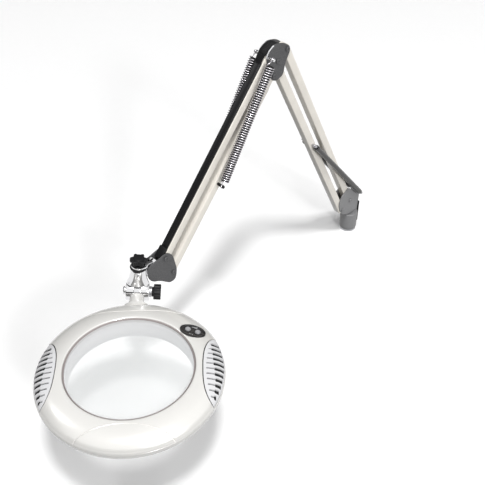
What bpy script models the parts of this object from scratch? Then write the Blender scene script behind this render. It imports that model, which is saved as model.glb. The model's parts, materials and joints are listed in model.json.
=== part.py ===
"""Magnifying lamp on a two-stage parallelogram arm.

Sizes below are millimetres, turned into metres when a mesh is made. The base axis is the Z axis, the arm
lies in the YZ plane and reaches towards -Y, and the origin is the centre of the mounting face.
"""

import math

import bmesh
import bpy
from mathutils import Matrix, Vector

MM = 0.001
GAP = 0.3

# Arm linkage: pivots are (Y, Z) in the arm plane, angles are counted from +Y towards +Z.
LOWER_ANGLE = 116.5
LOWER_LENGTH = 453.3
UPPER_ANGLE = 231.15
UPPER_LENGTH = 359.4
BASE_FRONT = (-32.2, 65.3)
LOWER_LINK = (20.7, 14.0)
ELBOW_LOW = (-241.8, 447.6)
UPPER_LINK = (-13.5, 36.6)
BAR_WIDTH = 14.6
BAR_DEPTH = 14.4
BAR_WALL = 1.3
LUG_DEPTH = 9.0
PIN_RADIUS = 2.5
HOLE_RADIUS = 2.9
PLATE_INNER = 7.7
PLATE_OUTER = 9.5

# Base.
SOCKET_RADIUS = 17.8
SOCKET_TOP = 42.0
SPIGOT_RADIUS = 8.0
FLANGE_RADIUS = 17.0
FLANGE_HEIGHT = 4.0
POST_TOP = 37.5

# Head joint: the swivel axis leans back from vertical, and the head is turned to one side of the arm.
SWIVEL_LEAN = 8.0
HEAD_TURN = 49.6
TILT_PIVOT = (0.0, -536.0, 162.0)
EAR_RADIUS = 15.5
EAR_OUTER = 19.0
EAR_INNER = 6.2

# Head: radii from the lens axis, heights from the plane of the widest rim.
HEAD_REACH = 175.8
HEAD_RADIUS = 140.0
OPENING_RADIUS = 96.5
LENS_RADIUS = 94.2
SHELL_WALL = 2.4
NECK_RADIUS = 11.8
VENT_CENTRE = -7.0
KEY_RADIUS = 4.2
KEY_PLACES = (-8.0, 8.0)
HEAD_STEPS = 44

CREAM = (0.86, 0.84, 0.79)
PEARL = (0.88, 0.88, 0.86)
GRAPHITE = (0.10, 0.10, 0.11)
BASE_GREY = (0.22, 0.22, 0.23)
BLACK = (0.015, 0.015, 0.017)
CHROME = (0.80, 0.80, 0.82)
STEEL = (0.45, 0.45, 0.48)
SLEEVE_GREY = (0.07, 0.07, 0.075)
LIGHT_GREY = (0.72, 0.72, 0.75)
BOARD_GREEN = (0.03, 0.20, 0.08)
BRONZE = (0.55, 0.38, 0.16)


def clear_scene():
    for obj in list(bpy.data.objects):
        bpy.data.objects.remove(obj, do_unlink=True)


def direction(degrees):
    angle = math.radians(degrees)
    return (math.cos(angle), math.sin(angle))


def along(start, degrees, length):
    y, z = direction(degrees)
    return (start[0] + y * length, start[1] + z * length)


def plus(a, b):
    return (a[0] + b[0], a[1] + b[1])


def material(name, color, roughness, metallic=0.0, alpha=1.0):
    """The Principled material of that name, made the first time it is asked for."""
    found = bpy.data.materials.get(name)
    if found:
        return found
    made = bpy.data.materials.new(name)
    made.use_nodes = True
    shader = made.node_tree.nodes["Principled BSDF"]
    shader.inputs["Base Color"].default_value = (*color, 1.0)
    shader.inputs["Roughness"].default_value = roughness
    shader.inputs["Metallic"].default_value = metallic
    shader.inputs["Alpha"].default_value = alpha
    return made


def frame(name, location, rotation=None):
    """An empty on a joint's axis; location is in millimetres."""
    empty = bpy.data.objects.new(name, None)
    bpy.context.scene.collection.objects.link(empty)
    turn = rotation.to_4x4() if rotation else Matrix.Identity(4)
    empty.matrix_world = Matrix.Translation(Vector(location) * MM) @ turn
    return empty


def arm_frame(name, pivot):
    return frame(name, (0.0, pivot[0], pivot[1]))


def solid(name, bm, parent, look, smooth_angle=35.0):
    """Turns a bmesh in millimetres, drawn in the parent's own frame, into a named object."""
    bmesh.ops.scale(bm, vec=(MM, MM, MM), verts=bm.verts)
    bmesh.ops.recalc_face_normals(bm, faces=bm.faces)
    mesh = bpy.data.meshes.new(name)
    bm.to_mesh(mesh)
    bm.free()
    mesh.shade_smooth()
    mesh.set_sharp_from_angle(angle=math.radians(smooth_angle))
    obj = bpy.data.objects.new(name, mesh)
    bpy.context.scene.collection.objects.link(obj)
    obj.parent = parent
    if look:
        mesh.materials.append(look)
    return obj


def prism(points, low, high, axis="X"):
    """A flat outline, pushed from low to high along X or Z."""
    bm = bmesh.new()
    if axis == "X":
        verts = [bm.verts.new((low, a, b)) for a, b in points]
        push = (high - low, 0.0, 0.0)
    else:
        verts = [bm.verts.new((a, b, low)) for a, b in points]
        push = (0.0, 0.0, high - low)
    base = bm.faces.new(verts)
    top = bmesh.ops.extrude_face_region(bm, geom=[base])["geom"]
    moved = [part for part in top if isinstance(part, bmesh.types.BMVert)]
    bmesh.ops.translate(bm, vec=push, verts=moved)
    return bm


def rounded(points, radius, steps=3):
    """The outline with each corner replaced by an arc-like run of points."""
    result = []
    count = len(points)
    for i in range(count):
        corner = Vector(points[i])
        before = Vector(points[i - 1]) - corner
        after = Vector(points[(i + 1) % count]) - corner
        reach = min(radius, 0.45 * before.length, 0.45 * after.length)
        start = corner + before.normalized() * reach
        end = corner + after.normalized() * reach
        for k in range(steps + 1):
            t = k / steps
            point = start * (1 - t) ** 2 + corner * (2 * t * (1 - t)) + end * t ** 2
            result.append((point.x, point.y))
    return result


def turned(profile, steps, closed=False):
    """A (radius, height) profile turned about Z: an open run from axis to axis, or a closed loop."""
    bm = bmesh.new()
    rings = []
    for radius, height in profile:
        if radius < 1e-6:
            rings.append([bm.verts.new((0.0, 0.0, height))])
            continue
        ring = []
        for k in range(steps):
            angle = 2 * math.pi * k / steps
            ring.append(bm.verts.new((radius * math.cos(angle), radius * math.sin(angle), height)))
        rings.append(ring)
    pairs = list(zip(rings, rings[1:]))
    if closed:
        pairs.append((rings[-1], rings[0]))
    for first, second in pairs:
        for k in range(steps):
            after = (k + 1) % steps
            corners = [first[k % len(first)], first[after % len(first)]]
            corners += [second[after % len(second)], second[k % len(second)]]
            unique = list(dict.fromkeys(corners))
            if len(unique) > 2:
                bm.faces.new(unique)
    return bm


def cylinder(radius, low, high, steps=24, bore=0.0, edge=0.0):
    """A round bar or tube along Z with an optional chamfer."""
    outer = [(radius - edge, low), (radius, low + edge), (radius, high - edge), (radius - edge, high)]
    if not edge:
        outer = [(radius, low), (radius, high)]
    if bore:
        return turned(outer + [(bore, high), (bore, low)], steps, closed=True)
    return turned([(0.0, low)] + outer + [(0.0, high)], steps)


def box(low, high):
    bm = bmesh.new()
    bmesh.ops.create_cube(bm, size=1.0)
    size = Vector(high) - Vector(low)
    bmesh.ops.scale(bm, vec=size, verts=bm.verts)
    bmesh.ops.translate(bm, vec=(Vector(high) + Vector(low)) / 2, verts=bm.verts)
    return bm


def placed(bm, rotation=None, offset=(0.0, 0.0, 0.0)):
    if rotation:
        bmesh.ops.rotate(bm, verts=bm.verts, cent=(0, 0, 0), matrix=rotation)
    bmesh.ops.translate(bm, vec=offset, verts=bm.verts)
    return bm


def along_x(bm, y=0.0, z=0.0):
    """Lays a shape drawn along Z on its side, along X."""
    return placed(bm, Matrix.Rotation(math.radians(90), 3, "Y"), (0.0, y, z))


def along_minus_y(bm):
    """Lays a shape drawn along Z on its side, so that its height runs towards -Y."""
    return placed(bm, Matrix.Rotation(math.radians(90), 3, "X"))


def combine(obj, bm, operation):
    """A Boolean with a hidden helper that has the same parent as the object."""
    index = sum(1 for modifier in obj.modifiers if modifier.type == "BOOLEAN")
    helper = solid(f"{obj.name}_{operation.lower()}_{index}", bm, obj.parent, None)
    helper.hide_render = True
    helper.display_type = "WIRE"
    modifier = obj.modifiers.new(operation.title(), "BOOLEAN")
    modifier.operation = operation
    modifier.solver = "EXACT"
    modifier.object = helper
    return obj


def cut(obj, bm):
    return combine(obj, bm, "DIFFERENCE")


def join(obj, bm):
    return combine(obj, bm, "UNION")


def soften(obj, width, segments=2):
    modifier = obj.modifiers.new("Edges", "BEVEL")
    modifier.width = width * MM
    modifier.segments = segments
    modifier.limit_method = "ANGLE"
    modifier.angle_limit = math.radians(50)
    return obj


# ---------------------------------------------------------------- base

def mounting_spigot(root):
    """Flange that bolts down, with the post that the lamp turns on."""
    look = material("zinc_steel", STEEL, 0.4, 0.9)
    profile = [(0.0, 0.0), (FLANGE_RADIUS, 0.0), (FLANGE_RADIUS, FLANGE_HEIGHT)]
    profile += [(SPIGOT_RADIUS, FLANGE_HEIGHT), (SPIGOT_RADIUS, POST_TOP - 1), (SPIGOT_RADIUS - 1, POST_TOP)]
    profile += [(0.0, POST_TOP)]
    post = solid("mounting_spigot", turned(profile, 32), root, look)
    for side in (-1, 1):
        cut(post, placed(cylinder(2.1, -1.0, 3.0, 12), offset=(0.0, 11.0 * side, 0.0)))


def base_bush(root):
    look = material("bronze", BRONZE, 0.35, 0.9)
    low = FLANGE_HEIGHT + GAP
    high = POST_TOP - 1.5
    inner = SPIGOT_RADIUS + 0.05
    profile = [(inner, low), (12.0, low), (12.0, low + 1.5), (10.0, low + 1.5), (10.0, high), (inner, high)]
    solid("base_bush", turned(profile, 28, closed=True), root, look)


def base_socket(turret):
    """Round cast socket with a web that stands up between the side plates and holds the springs' pin."""
    look = material("cast_base", BASE_GREY, 0.55, 0.4)
    low = FLANGE_HEIGHT + GAP
    top = SOCKET_TOP
    profile = [(0.0, POST_TOP + 1.0), (10.1, POST_TOP + 1.0), (10.1, low + 2.1), (12.4, low + 2.1)]
    profile += [(12.4, low), (SOCKET_RADIUS - 1.5, low), (SOCKET_RADIUS, low + 1.5), (SOCKET_RADIUS, top - 1.0)]
    profile += [(SOCKET_RADIUS - 1.0, top), (0.0, top)]
    socket = solid("base_socket", turned(profile, 36), turret, look)
    web = [(-16.5, 40.0), (16.5, 40.0), (17.6, 60.0), (SPRING_FOOT[0] + 6.0, 88.0), (SPRING_FOOT[0] + 1.0, 97.0)]
    web += [(SPRING_FOOT[0] - 6.0, 92.0), (2.0, 64.0), (-14.0, 54.0), (-17.0, 50.0)]
    join(socket, prism(rounded(web, 3.0), -7.4, 7.4))
    cut(socket, along_x(cylinder(PIN_RADIUS + GAP, -30.0, 30.0, 16), *SPRING_FOOT))


def rear_cover(turret):
    """Flat black strip behind the socket and the web."""
    look = material("rear_cover_black", BLACK, 0.5)
    outline = [(18.1, 12.0), (19.6, 13.5), (19.6, 62.0), (18.1, 63.0)]
    solid("rear_cover", prism(outline, -9.5, 9.5), turret, look)


def base_plates(turret):
    """Side plates that carry both lower bars."""
    look = material("cast_plate", (0.26, 0.26, 0.27), 0.5, 0.3)
    outline = [(-20.0, 116.0), (14.0, 79.5), (13.5, 54.0), (-2.0, 42.6), (-30.0, 52.0)]
    outline += [(-41.0, 66.0), (-46.0, 86.0), (-41.0, 103.0)]
    for side, name in ((-1, "base_plate_left"), (1, "base_plate_right")):
        low, high = sorted((side * PLATE_INNER, side * PLATE_OUTER))
        plate = solid(name, prism(rounded(outline, 6.0, 4), low, high), turret, look)
        for pivot in (BASE_FRONT, BASE_REAR):
            cut(plate, along_x(cylinder(PIN_RADIUS + GAP, -30.0, 30.0, 16), *pivot))


def pivot_pin(name, pivot, parent, reach=PLATE_OUTER + 1.6):
    """Headed pin right through both side plates."""
    look = material("pin_steel", STEEL, 0.3, 1.0)
    head = PIN_RADIUS + 1.8
    low = PLATE_OUTER + GAP
    profile = [(0.0, -reach), (head - 0.6, -reach), (head, -low - 0.3), (head, -low), (PIN_RADIUS, -low)]
    profile += [(PIN_RADIUS, low), (head, low), (head, low + 0.3), (head - 0.6, reach), (0.0, reach)]
    return solid(name, along_x(turned(profile, 16), *pivot), parent, look)


def spring_pin(name, pivot, parent, reach, color, metallic):
    """Long pin with a groove near each end, where a spring's hook sits."""
    look = material(name + "_finish", color, 0.3, metallic)
    radius = PIN_RADIUS
    profile = [(0.0, -reach), (radius - 0.4, -reach), (radius, -reach + 0.4), (radius, -reach + 2.0)]
    profile += [(radius - 0.6, -reach + 2.4), (radius - 0.6, -reach + 5.0), (radius, -reach + 5.4)]
    mirrored = [(r, -z) for r, z in reversed(profile)]
    return solid(name, along_x(turned(profile + mirrored, 16), *pivot), parent, look)


# ---------------------------------------------------------------- arms

def bar(name, length, parent, angle, offset, lug_low, lug_high, pin_at=0.0):
    """Square tube between two pivots, with solid ends.

    It is drawn along Z from the parent's origin. offset moves the tube sideways from the line of the pivots.
    A lug is a narrower end of that length, where another bar passes close by.
    """
    look = material("bar_enamel", CREAM, 0.35, 0.0)
    half = BAR_DEPTH / 2
    radius_low = LUG_DEPTH / 2 + 1.0 if lug_low else half
    radius_high = LUG_DEPTH / 2 + 1.0 if lug_high else half
    low_y = 0.0 if lug_low else offset
    high_y = 0.0 if lug_high else offset
    points = [(low_y + radius_low * math.cos(a), radius_low * math.sin(a)) for a in arc(180, 360, 8)]
    if lug_low:
        points += [(LUG_DEPTH / 2 + 1.0, lug_low - 6.0), (offset + half, lug_low)]
    if lug_high:
        points += [(offset + half, length - lug_high), (LUG_DEPTH / 2 + 1.0, length - lug_high + 6.0)]
    points += [(high_y + radius_high * math.cos(a), length + radius_high * math.sin(a)) for a in arc(0, 180, 8)]
    if lug_high:
        points += [(-LUG_DEPTH / 2 - 1.0, length - lug_high + 6.0), (offset - half, length - lug_high)]
    if lug_low:
        points += [(offset - half, lug_low), (-LUG_DEPTH / 2 - 1.0, lug_low - 6.0)]
    turn = Matrix.Rotation(math.radians(angle - 90.0), 3, "X")
    obj = solid(name, placed(prism(points, -BAR_WIDTH / 2, BAR_WIDTH / 2), turn), parent, look)
    inner = half - BAR_WALL
    reach = BAR_WIDTH / 2 - BAR_WALL
    start = max(lug_low, 12.0) + 14.0
    end = length - max(lug_high, 12.0) - 14.0
    hollow = box((-reach, offset - inner, start), (reach, offset + inner, end))
    cut(obj, placed(hollow, turn))
    drain = placed(cylinder(1.5, 0.0, half + 2.0, 8), Matrix.Rotation(math.radians(90), 3, "X"))
    cut(obj, placed(placed(drain, offset=(0.0, offset, start + 30.0)), turn))
    holes = [0.0, length]
    if pin_at:
        holes.append(pin_at)
    for place in holes:
        radius = PIN_RADIUS + GAP if place == pin_at and pin_at else HOLE_RADIUS
        shift = offset if place == pin_at and pin_at else 0.0
        hole = along_x(cylinder(radius, -20.0, 20.0, 16), shift, place)
        cut(obj, placed(hole, turn))
    return obj


def arc(start, end, steps):
    return [math.radians(start + (end - start) * k / steps) for k in range(steps + 1)]


def spring_tube(name, start, end, side, spacing, radius, wall, ends, parent, look):
    """The room that a coil spring fills, as a tube from pin to pin, short of each pin by ends."""
    run = Vector((0.0, end[0] - start[0], end[1] - start[1]))
    length = run.length
    turn = run.to_track_quat("Z", "X").to_matrix()
    tube = cylinder(radius, ends, length - ends, 20, bore=radius - wall)
    return solid(name, placed(tube, turn, (side * spacing, start[0], start[1])), parent, look)


def wire_cover(parent):
    """Low black channel that clips over the top bar and carries the lead."""
    look = material("wire_cover_black", BLACK, 0.45)
    base = UPPER_OFFSET + BAR_DEPTH / 2 + GAP
    outline = [(-6.7, 0.0), (6.7, 0.0), (6.7, 2.4), (5.7, 3.4), (-5.7, 3.4), (-6.7, 2.4)]
    bm = prism(outline, 14.0, UPPER_LENGTH - 17.0, "Z")
    turn = Matrix.Rotation(math.radians(UPPER_ANGLE - 90.0), 3, "X")
    solid("wire_cover", placed(placed(bm, offset=(0.0, base, 0.0)), turn), parent, look)


def wire_cover_end(parent):
    """Taller end block of the wire cover, where the lead leaves it."""
    look = material("wire_end_black", BLACK, 0.5)
    base = UPPER_OFFSET + BAR_DEPTH / 2 + GAP
    turn = Matrix.Rotation(math.radians(UPPER_ANGLE - 90.0), 3, "X")
    low = UPPER_LENGTH - 17.0 + GAP
    block = box((-7.3, base, low), (7.3, base + 6.0, UPPER_LENGTH + 4.0))
    obj = solid("wire_cover_end", placed(block, turn), parent, look)
    soften(obj, 0.8)
    hole = placed(cylinder(2.0, 0.0, 12.0, 12), offset=(0.0, base + 3.0, UPPER_LENGTH - 4.0))
    cut(obj, placed(hole, turn))


# ---------------------------------------------------------------- elbow and wrist

def side_plates(stem, outline, corner, pivots, parent, look):
    for side, suffix in ((-1, "left"), (1, "right")):
        low, high = sorted((side * PLATE_INNER, side * PLATE_OUTER))
        plate = solid(f"{stem}_{suffix}", prism(rounded(outline, corner, 4), low, high), parent, look)
        for pivot in pivots:
            cut(plate, along_x(cylinder(PIN_RADIUS + GAP, -30.0, 30.0, 16), *pivot))


def cable_guard(parent):
    """Curved black strap that carries the lead over the elbow, between the side plates."""
    look = material("guard_black", BLACK, 0.4)
    centre = (-242.0 - ELBOW_FRONT[0], 478.0 - ELBOW_FRONT[1])
    outer = [plus(centre, (24.0 * math.cos(a), 24.0 * math.sin(a))) for a in arc(52, 150, 12)]
    inner = [plus(centre, (21.5 * math.cos(a), 21.5 * math.sin(a))) for a in arc(150, 52, 12)]
    guard = solid("elbow_cable_guard", prism(outer + inner, -7.4, 7.4), parent, look)
    return guard


def wrist_bracket(parent):
    """Chrome block between the covers, with the tongue that the head hangs from."""
    look = material("bracket_chrome", CHROME, 0.12, 1.0)
    block = [(-497.0, 211.3), (-508.0, 208.9), (-517.0, 206.5), (-516.5, 186.0), (-509.5, 175.5)]
    block += [(-497.5, 170.0), (-494.0, 180.0), (-496.0, 205.0)]
    shifted = [(y - WRIST_LOW[0], z - WRIST_LOW[1]) for y, z in block]
    bracket = solid("wrist_bracket", prism(shifted, -7.4, 7.4), parent, look)
    local = Matrix.Rotation(math.radians(-SWIVEL_LEAN), 3, "X")
    offset = Vector(TILT_PIVOT) - Vector((0.0, *WRIST_LOW))
    outline = [(12.0 * math.cos(a), 12.0 * math.sin(a)) for a in arc(180, 360, 12)]
    outline += [(12.0, 6.0), (7.4, 14.0), (7.4, 24.0), (-7.4, 24.0), (-7.4, 14.0), (-12.0, 6.0)]
    join(bracket, placed(prism(outline, TONGUE_LOW, TONGUE_LOW + 3.0, "Z"), local, offset))
    cut(bracket, placed(cylinder(4.3, 30.0, 80.0, 20), local, offset))
    slot = [(2.0 * math.cos(a), 4.0 + 2.0 * math.sin(a)) for a in arc(0, 180, 6)]
    slot += [(2.0 * math.cos(a), -4.0 + 2.0 * math.sin(a)) for a in arc(180, 360, 6)]
    place = (0.0, -505.0 - WRIST_LOW[0], 0.0)
    cut(bracket, placed(prism(slot, 190.0 - WRIST_LOW[1], 230.0 - WRIST_LOW[1], "Z"), offset=place))


# ---------------------------------------------------------------- head joint

def yoke(parent):
    """Chrome hub on the swivel axis with two ears across the tilt axis."""
    look = material("yoke_chrome", CHROME, 0.1, 1.0)
    profile = [(0.0, 10.0), (10.5, 10.0), (13.6, 14.4), (18.6, 17.2), (18.4, 18.6), (15.6, 24.0), (12.6, 38.0)]
    profile += [(12.0, 46.6), (11.4, 47.2)]
    profile += [(0.0, 47.2)]
    hub = solid("yoke", turned(profile, 32), parent, look)
    join(hub, along_x(cylinder(EAR_RADIUS, -EAR_OUTER, EAR_OUTER, 36, edge=0.8)))
    cut(hub, box((-EAR_INNER, -30.0, -30.0), (EAR_INNER, 30.0, EAR_RADIUS + 1.2)))
    cut(hub, along_x(cylinder(4.3, -30.0, 30.0, 20)))
    cut(hub, cylinder(4.3, 20.0, 60.0, 20))
    cut(hub, placed(cylinder(2.2, 8.0, 20.0, 12), Matrix.Rotation(math.radians(90), 3, "X"), (0.0, 0.0, 41.0)))


def yoke_set_screw(parent):
    look = material("set_screw_steel", STEEL, 0.3, 1.0)
    screw = turned([(0.0, 9.0), (1.9, 9.0), (1.9, 12.0), (1.0, 12.2), (1.0, 11.4), (0.0, 11.4)], 12)
    turn = Matrix.Rotation(math.radians(90), 3, "X")
    solid("yoke_set_screw", placed(screw, turn, (0.0, 0.0, 41.0)), parent, look)


def star_knob(parent):
    """Six-lobed clamping knob with the stud that the yoke turns on."""
    look = material("star_knob_black", BLACK, 0.35)
    low = KNOB_LOW
    outline = []
    for k in range(72):
        angle = 2 * math.pi * k / 72
        radius = 14.0 + 2.2 * math.cos(6 * angle)
        outline.append((radius * math.cos(angle), radius * math.sin(angle)))
    knob = solid("star_knob", prism(outline, low + 2.5, low + 11.0, "Z"), parent, look)
    neck = [(0.0, low), (8.0, low), (8.0, low + 4.0), (0.0, low + 4.0)]
    join(knob, turned(neck, 24))
    top = [(0.0, low + 10.5), (9.0, low + 10.5), (8.5, low + 12.5), (0.0, low + 12.8)]
    join(knob, turned(top, 24))
    join(knob, cylinder(4.0, 25.0, low + 2.0, 20))


def washer(name, parent, outer, inner, low, high, color, metallic=0.0, sideways=False):
    look = material(name + "_finish", color, 0.5, metallic)
    bm = turned([(inner, low), (outer, low), (outer, high), (inner, high)], 28, closed=True)
    return solid(name, along_x(bm) if sideways else bm, parent, look)


def tilt_knob(parent):
    """Fluted clamping knob on the end of the tilt bolt."""
    look = material("tilt_knob_black", BLACK, 0.4)
    outline = []
    for k in range(48):
        angle = 2 * math.pi * k / 48
        radius = 12.2 + 0.7 * math.cos(12 * angle)
        outline.append((radius * math.cos(angle), radius * math.sin(angle)))
    knob = solid("tilt_knob", along_x(prism(outline, 26.0, 38.0, "Z")), parent, look)
    join(knob, along_x(turned([(0.0, 23.0), (8.0, 23.0), (8.5, 27.0), (0.0, 27.0)], 24)))
    cut(knob, along_x(cylinder(4.2, 20.0, 34.0, 16)))
    soften(knob, 0.9, 1)


def tilt_bolt(parent):
    look = material("bolt_chrome", CHROME, 0.2, 1.0)
    low = -EAR_OUTER - GAP
    profile = [(0.0, low - 4.0), (6.0, low - 4.0), (6.8, low - 3.0), (6.8, low), (3.9, low), (3.9, 33.0)]
    profile += [(0.0, 33.0)]
    solid("tilt_bolt", along_x(turned(profile, 20)), parent, look)


def neck_knuckle(parent):
    """Chrome middle knuckle on the tilt axis, with a round shank that the neck slides over."""
    look = material("knuckle_chrome", CHROME, 0.12, 1.0)
    reach = EAR_INNER - 0.4
    knuckle = solid("neck_knuckle", along_x(cylinder(EAR_RADIUS - 0.3, -reach, reach, 36)), parent, look)
    join(knuckle, along_minus_y(cylinder(reach - 0.2, 10.0, 44.0, 24)))
    cut(knuckle, along_x(cylinder(4.3, -30.0, 30.0, 20)))


# ---------------------------------------------------------------- head

def shell_height(radius):
    """Height of the upper shell's outside at a radius from the lens axis."""
    t = (radius - OPENING_RADIUS) / (HEAD_RADIUS - OPENING_RADIUS)
    return 19.5 * math.sqrt(max(0.0, 1.0 - t ** 2.3))


def head_turned(name, profile, steps, parent, look, closed=True):
    return solid(name, placed(turned(profile, steps, closed), offset=(0.0, -HEAD_REACH, 0.0)), parent, look)


def upper_shell(parent):
    look = material("shell_pearl", PEARL, 0.3)
    radii = [OPENING_RADIUS + 1.2, 103.0, 110.0, 117.0, 124.0, 130.0, 135.0, 138.5]
    outer = [(r, shell_height(r)) for r in radii] + [(HEAD_RADIUS, -0.8)]
    inner = [(HEAD_RADIUS - SHELL_WALL, -0.8)]
    inner += [(r - SHELL_WALL * 0.7, shell_height(r) - SHELL_WALL) for r in reversed(radii[2:])]
    lip = [(OPENING_RADIUS + 2.4, 15.0), (OPENING_RADIUS + 2.4, 11.0), (OPENING_RADIUS, 11.0)]
    lip += [(OPENING_RADIUS, 18.8)]
    shell = head_turned("upper_shell", outer + inner + lip, HEAD_STEPS, parent, look)
    neck = cylinder(NECK_RADIUS, EAR_RADIUS + 1.3, HEAD_REACH - 130.0, 32)
    join(shell, along_minus_y(neck))
    cut(shell, along_minus_y(cylinder(EAR_INNER - 0.2, 0.0, HEAD_REACH - 128.0, 24)))
    for side in (-1, 1):
        cut(shell, vent_block(side, 0.4, -4.0, 30.0))
    cut(shell, pad_block(0.4, -1.6, 6.0))
    return shell


def vent_block(side, grow, low, high):
    """Oblong column over a vent, square-shouldered in plan."""
    outline = []
    for a in arc(0, 360, 40)[:-1]:
        c, s = math.cos(a), math.sin(a)
        x = math.copysign(abs(c) ** 0.75, c) * (34.0 + grow)
        y = math.copysign(abs(s) ** 0.75, s) * (67.0 + grow)
        outline.append((x, y))
    return placed(prism(outline, low, high, "Z"), offset=(side * 141.0, VENT_CENTRE - HEAD_REACH, 0.0))


def vent_grille(side, name, parent):
    """Louvred insert that follows the shell a little below its surface."""
    look = material("vent_silver", (0.70, 0.70, 0.71), 0.3, 0.6)
    radii = [100.0, 108.0, 116.0, 124.0, 130.0, 135.0, 138.0]
    outer = [(r, shell_height(r) - 1.2) for r in radii] + [(138.6, 0.0)]
    inner = [(136.4, 0.0)] + [(r - 1.8, shell_height(r) - 3.4) for r in reversed(radii)]
    grille = head_turned(name, outer + inner, HEAD_STEPS, parent, look)
    combine(grille, vent_block(side, 0.0, -4.0, 30.0), "INTERSECT")
    for k in range(11):
        y = VENT_CENTRE + (k - 5) * 9.6
        inside = 112.0 + 0.0026 * (y - VENT_CENTRE) ** 2
        outside = math.sqrt(133.0 ** 2 - (abs(y) + 1.6) ** 2)
        low, high = sorted((side * inside, side * outside))
        cut(grille, box((low, y - HEAD_REACH - 1.6, -5.0), (high, y - HEAD_REACH + 1.6, 30.0)))


def pad_frame():
    """Rotation and place of the control pad on the shell."""
    x, y = 91.7, 65.5
    radius = math.hypot(x, y)
    slope = math.atan2(shell_height(radius - 3) - shell_height(radius + 3), 6.0)
    lean = Matrix.Rotation(slope, 3, Vector((-y / radius, x / radius, 0.0)))
    turn = Matrix.Rotation(math.radians(-21.0), 3, "Z")
    return lean @ turn, Vector((x, y - HEAD_REACH, shell_height(radius)))


def pad_block(grow, low, high):
    outline = [((20.5 + grow) * math.cos(a), (12.5 + grow) * math.sin(a)) for a in arc(0, 360, 36)[:-1]]
    rotation, place = pad_frame()
    return placed(prism(outline, low, high, "Z"), rotation, place)


def control_pad(parent):
    look = material("pad_black", BLACK, 0.25)
    pad = solid("control_pad", pad_block(0.0, -1.3, 1.0), parent, look)
    rotation, place = pad_frame()
    for x in KEY_PLACES:
        hole = cylinder(KEY_RADIUS + 0.4, -4.0, 4.0, 20)
        cut(pad, placed(placed(hole, offset=(x, 0.0, 0.0)), rotation, place))
    return pad


def key(name, x, parent):
    look = material("key_grey", (0.30, 0.30, 0.31), 0.35)
    rotation, place = pad_frame()
    cap = placed(cylinder(KEY_RADIUS, -0.6, 2.2, 20, edge=0.4), offset=(x, 0.0, 0.0))
    solid(name, placed(cap, rotation, place), parent, look)


def head_inside(parent):
    """Lens, its gasket and liner, the light ring and its window, and the lower shell."""
    glass = material("lens_glass", (0.95, 0.97, 0.97), 0.02, 0.0, 0.25)
    dome = [(0.0, 17.6), (30.0, 17.5), (60.0, 17.2), (80.0, 16.9), (LENS_RADIUS, 16.6)]
    belly = [(LENS_RADIUS, 11.6), (80.0, 10.8), (60.0, 9.8), (30.0, 8.8), (0.0, 8.5)]
    head_turned("lens", dome + belly, HEAD_STEPS, parent, glass, closed=False)
    rubber = material("gasket_dark", (0.05, 0.05, 0.05), 0.6)
    ring = [(94.5, 10.9), (96.2, 10.9), (96.2, 18.2), (95.0, 18.2), (94.5, 17.4)]
    head_turned("lens_gasket", ring, HEAD_STEPS, parent, rubber)
    pale = material("liner_pale", LIGHT_GREY, 0.5)
    wall = [(94.6, -19.6), (96.3, -19.6), (96.3, 10.6), (92.6, 10.6), (92.6, 8.6), (94.6, 8.0)]
    head_turned("inner_liner", wall, HEAD_STEPS, parent, pale)
    board = material("board_green", BOARD_GREEN, 0.5)
    head_turned("led_board", [(100.0, -6.0), (126.0, -6.0), (126.0, -4.4), (100.0, -4.4)], 48, parent, board)
    milky = material("diffuser_white", (0.9, 0.9, 0.88), 0.5)
    window = [(96.6, -19.6), (121.6, -19.6), (121.6, -17.4), (118.0, -17.4), (118.0, -17.6), (96.6, -17.6)]
    head_turned("diffuser", window, HEAD_STEPS, parent, milky)
    pearl = material("shell_pearl", PEARL, 0.3)
    under = [(122.0, -20.0), (128.0, -19.6), (134.0, -16.0), (138.2, -9.5), (139.8, -1.2)]
    under += [(137.4, -1.2), (135.6, -8.6), (131.8, -14.0), (127.0, -17.2), (122.0, -17.2)]
    lower = head_turned("lower_shell", under, HEAD_STEPS, parent, pearl)
    cut(lower, along_minus_y(cylinder(NECK_RADIUS + GAP, 20.0, 50.0, 32)))


def driver_board(parent):
    look = material("driver_green", BOARD_GREEN, 0.5)
    board = box((-26.0, -HEAD_REACH + 106.0, -1.6), (26.0, -HEAD_REACH + 122.0, 0.0))
    obj = solid("driver_board", board, parent, look)
    join(obj, box((-20.0, -HEAD_REACH + 109.0, -0.5), (-6.0, -HEAD_REACH + 119.0, 7.0)))
    join(obj, box((2.0, -HEAD_REACH + 110.0, -0.5), (9.0, -HEAD_REACH + 118.0, 5.0)))


def shell_screw(name, degrees, parent):
    look = material("screw_steel", STEEL, 0.3, 1.0)
    y, z = direction(degrees)
    place = (y * 130.0, -HEAD_REACH + z * 130.0, 0.0)
    profile = [(0.0, -12.5), (2.6, -12.5), (2.6, -10.9), (1.3, -10.9), (1.3, 3.0), (0.0, 3.0)]
    solid(name, placed(turned(profile, 12), offset=place), parent, look)


# ---------------------------------------------------------------- layout worked out from the sizes

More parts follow.
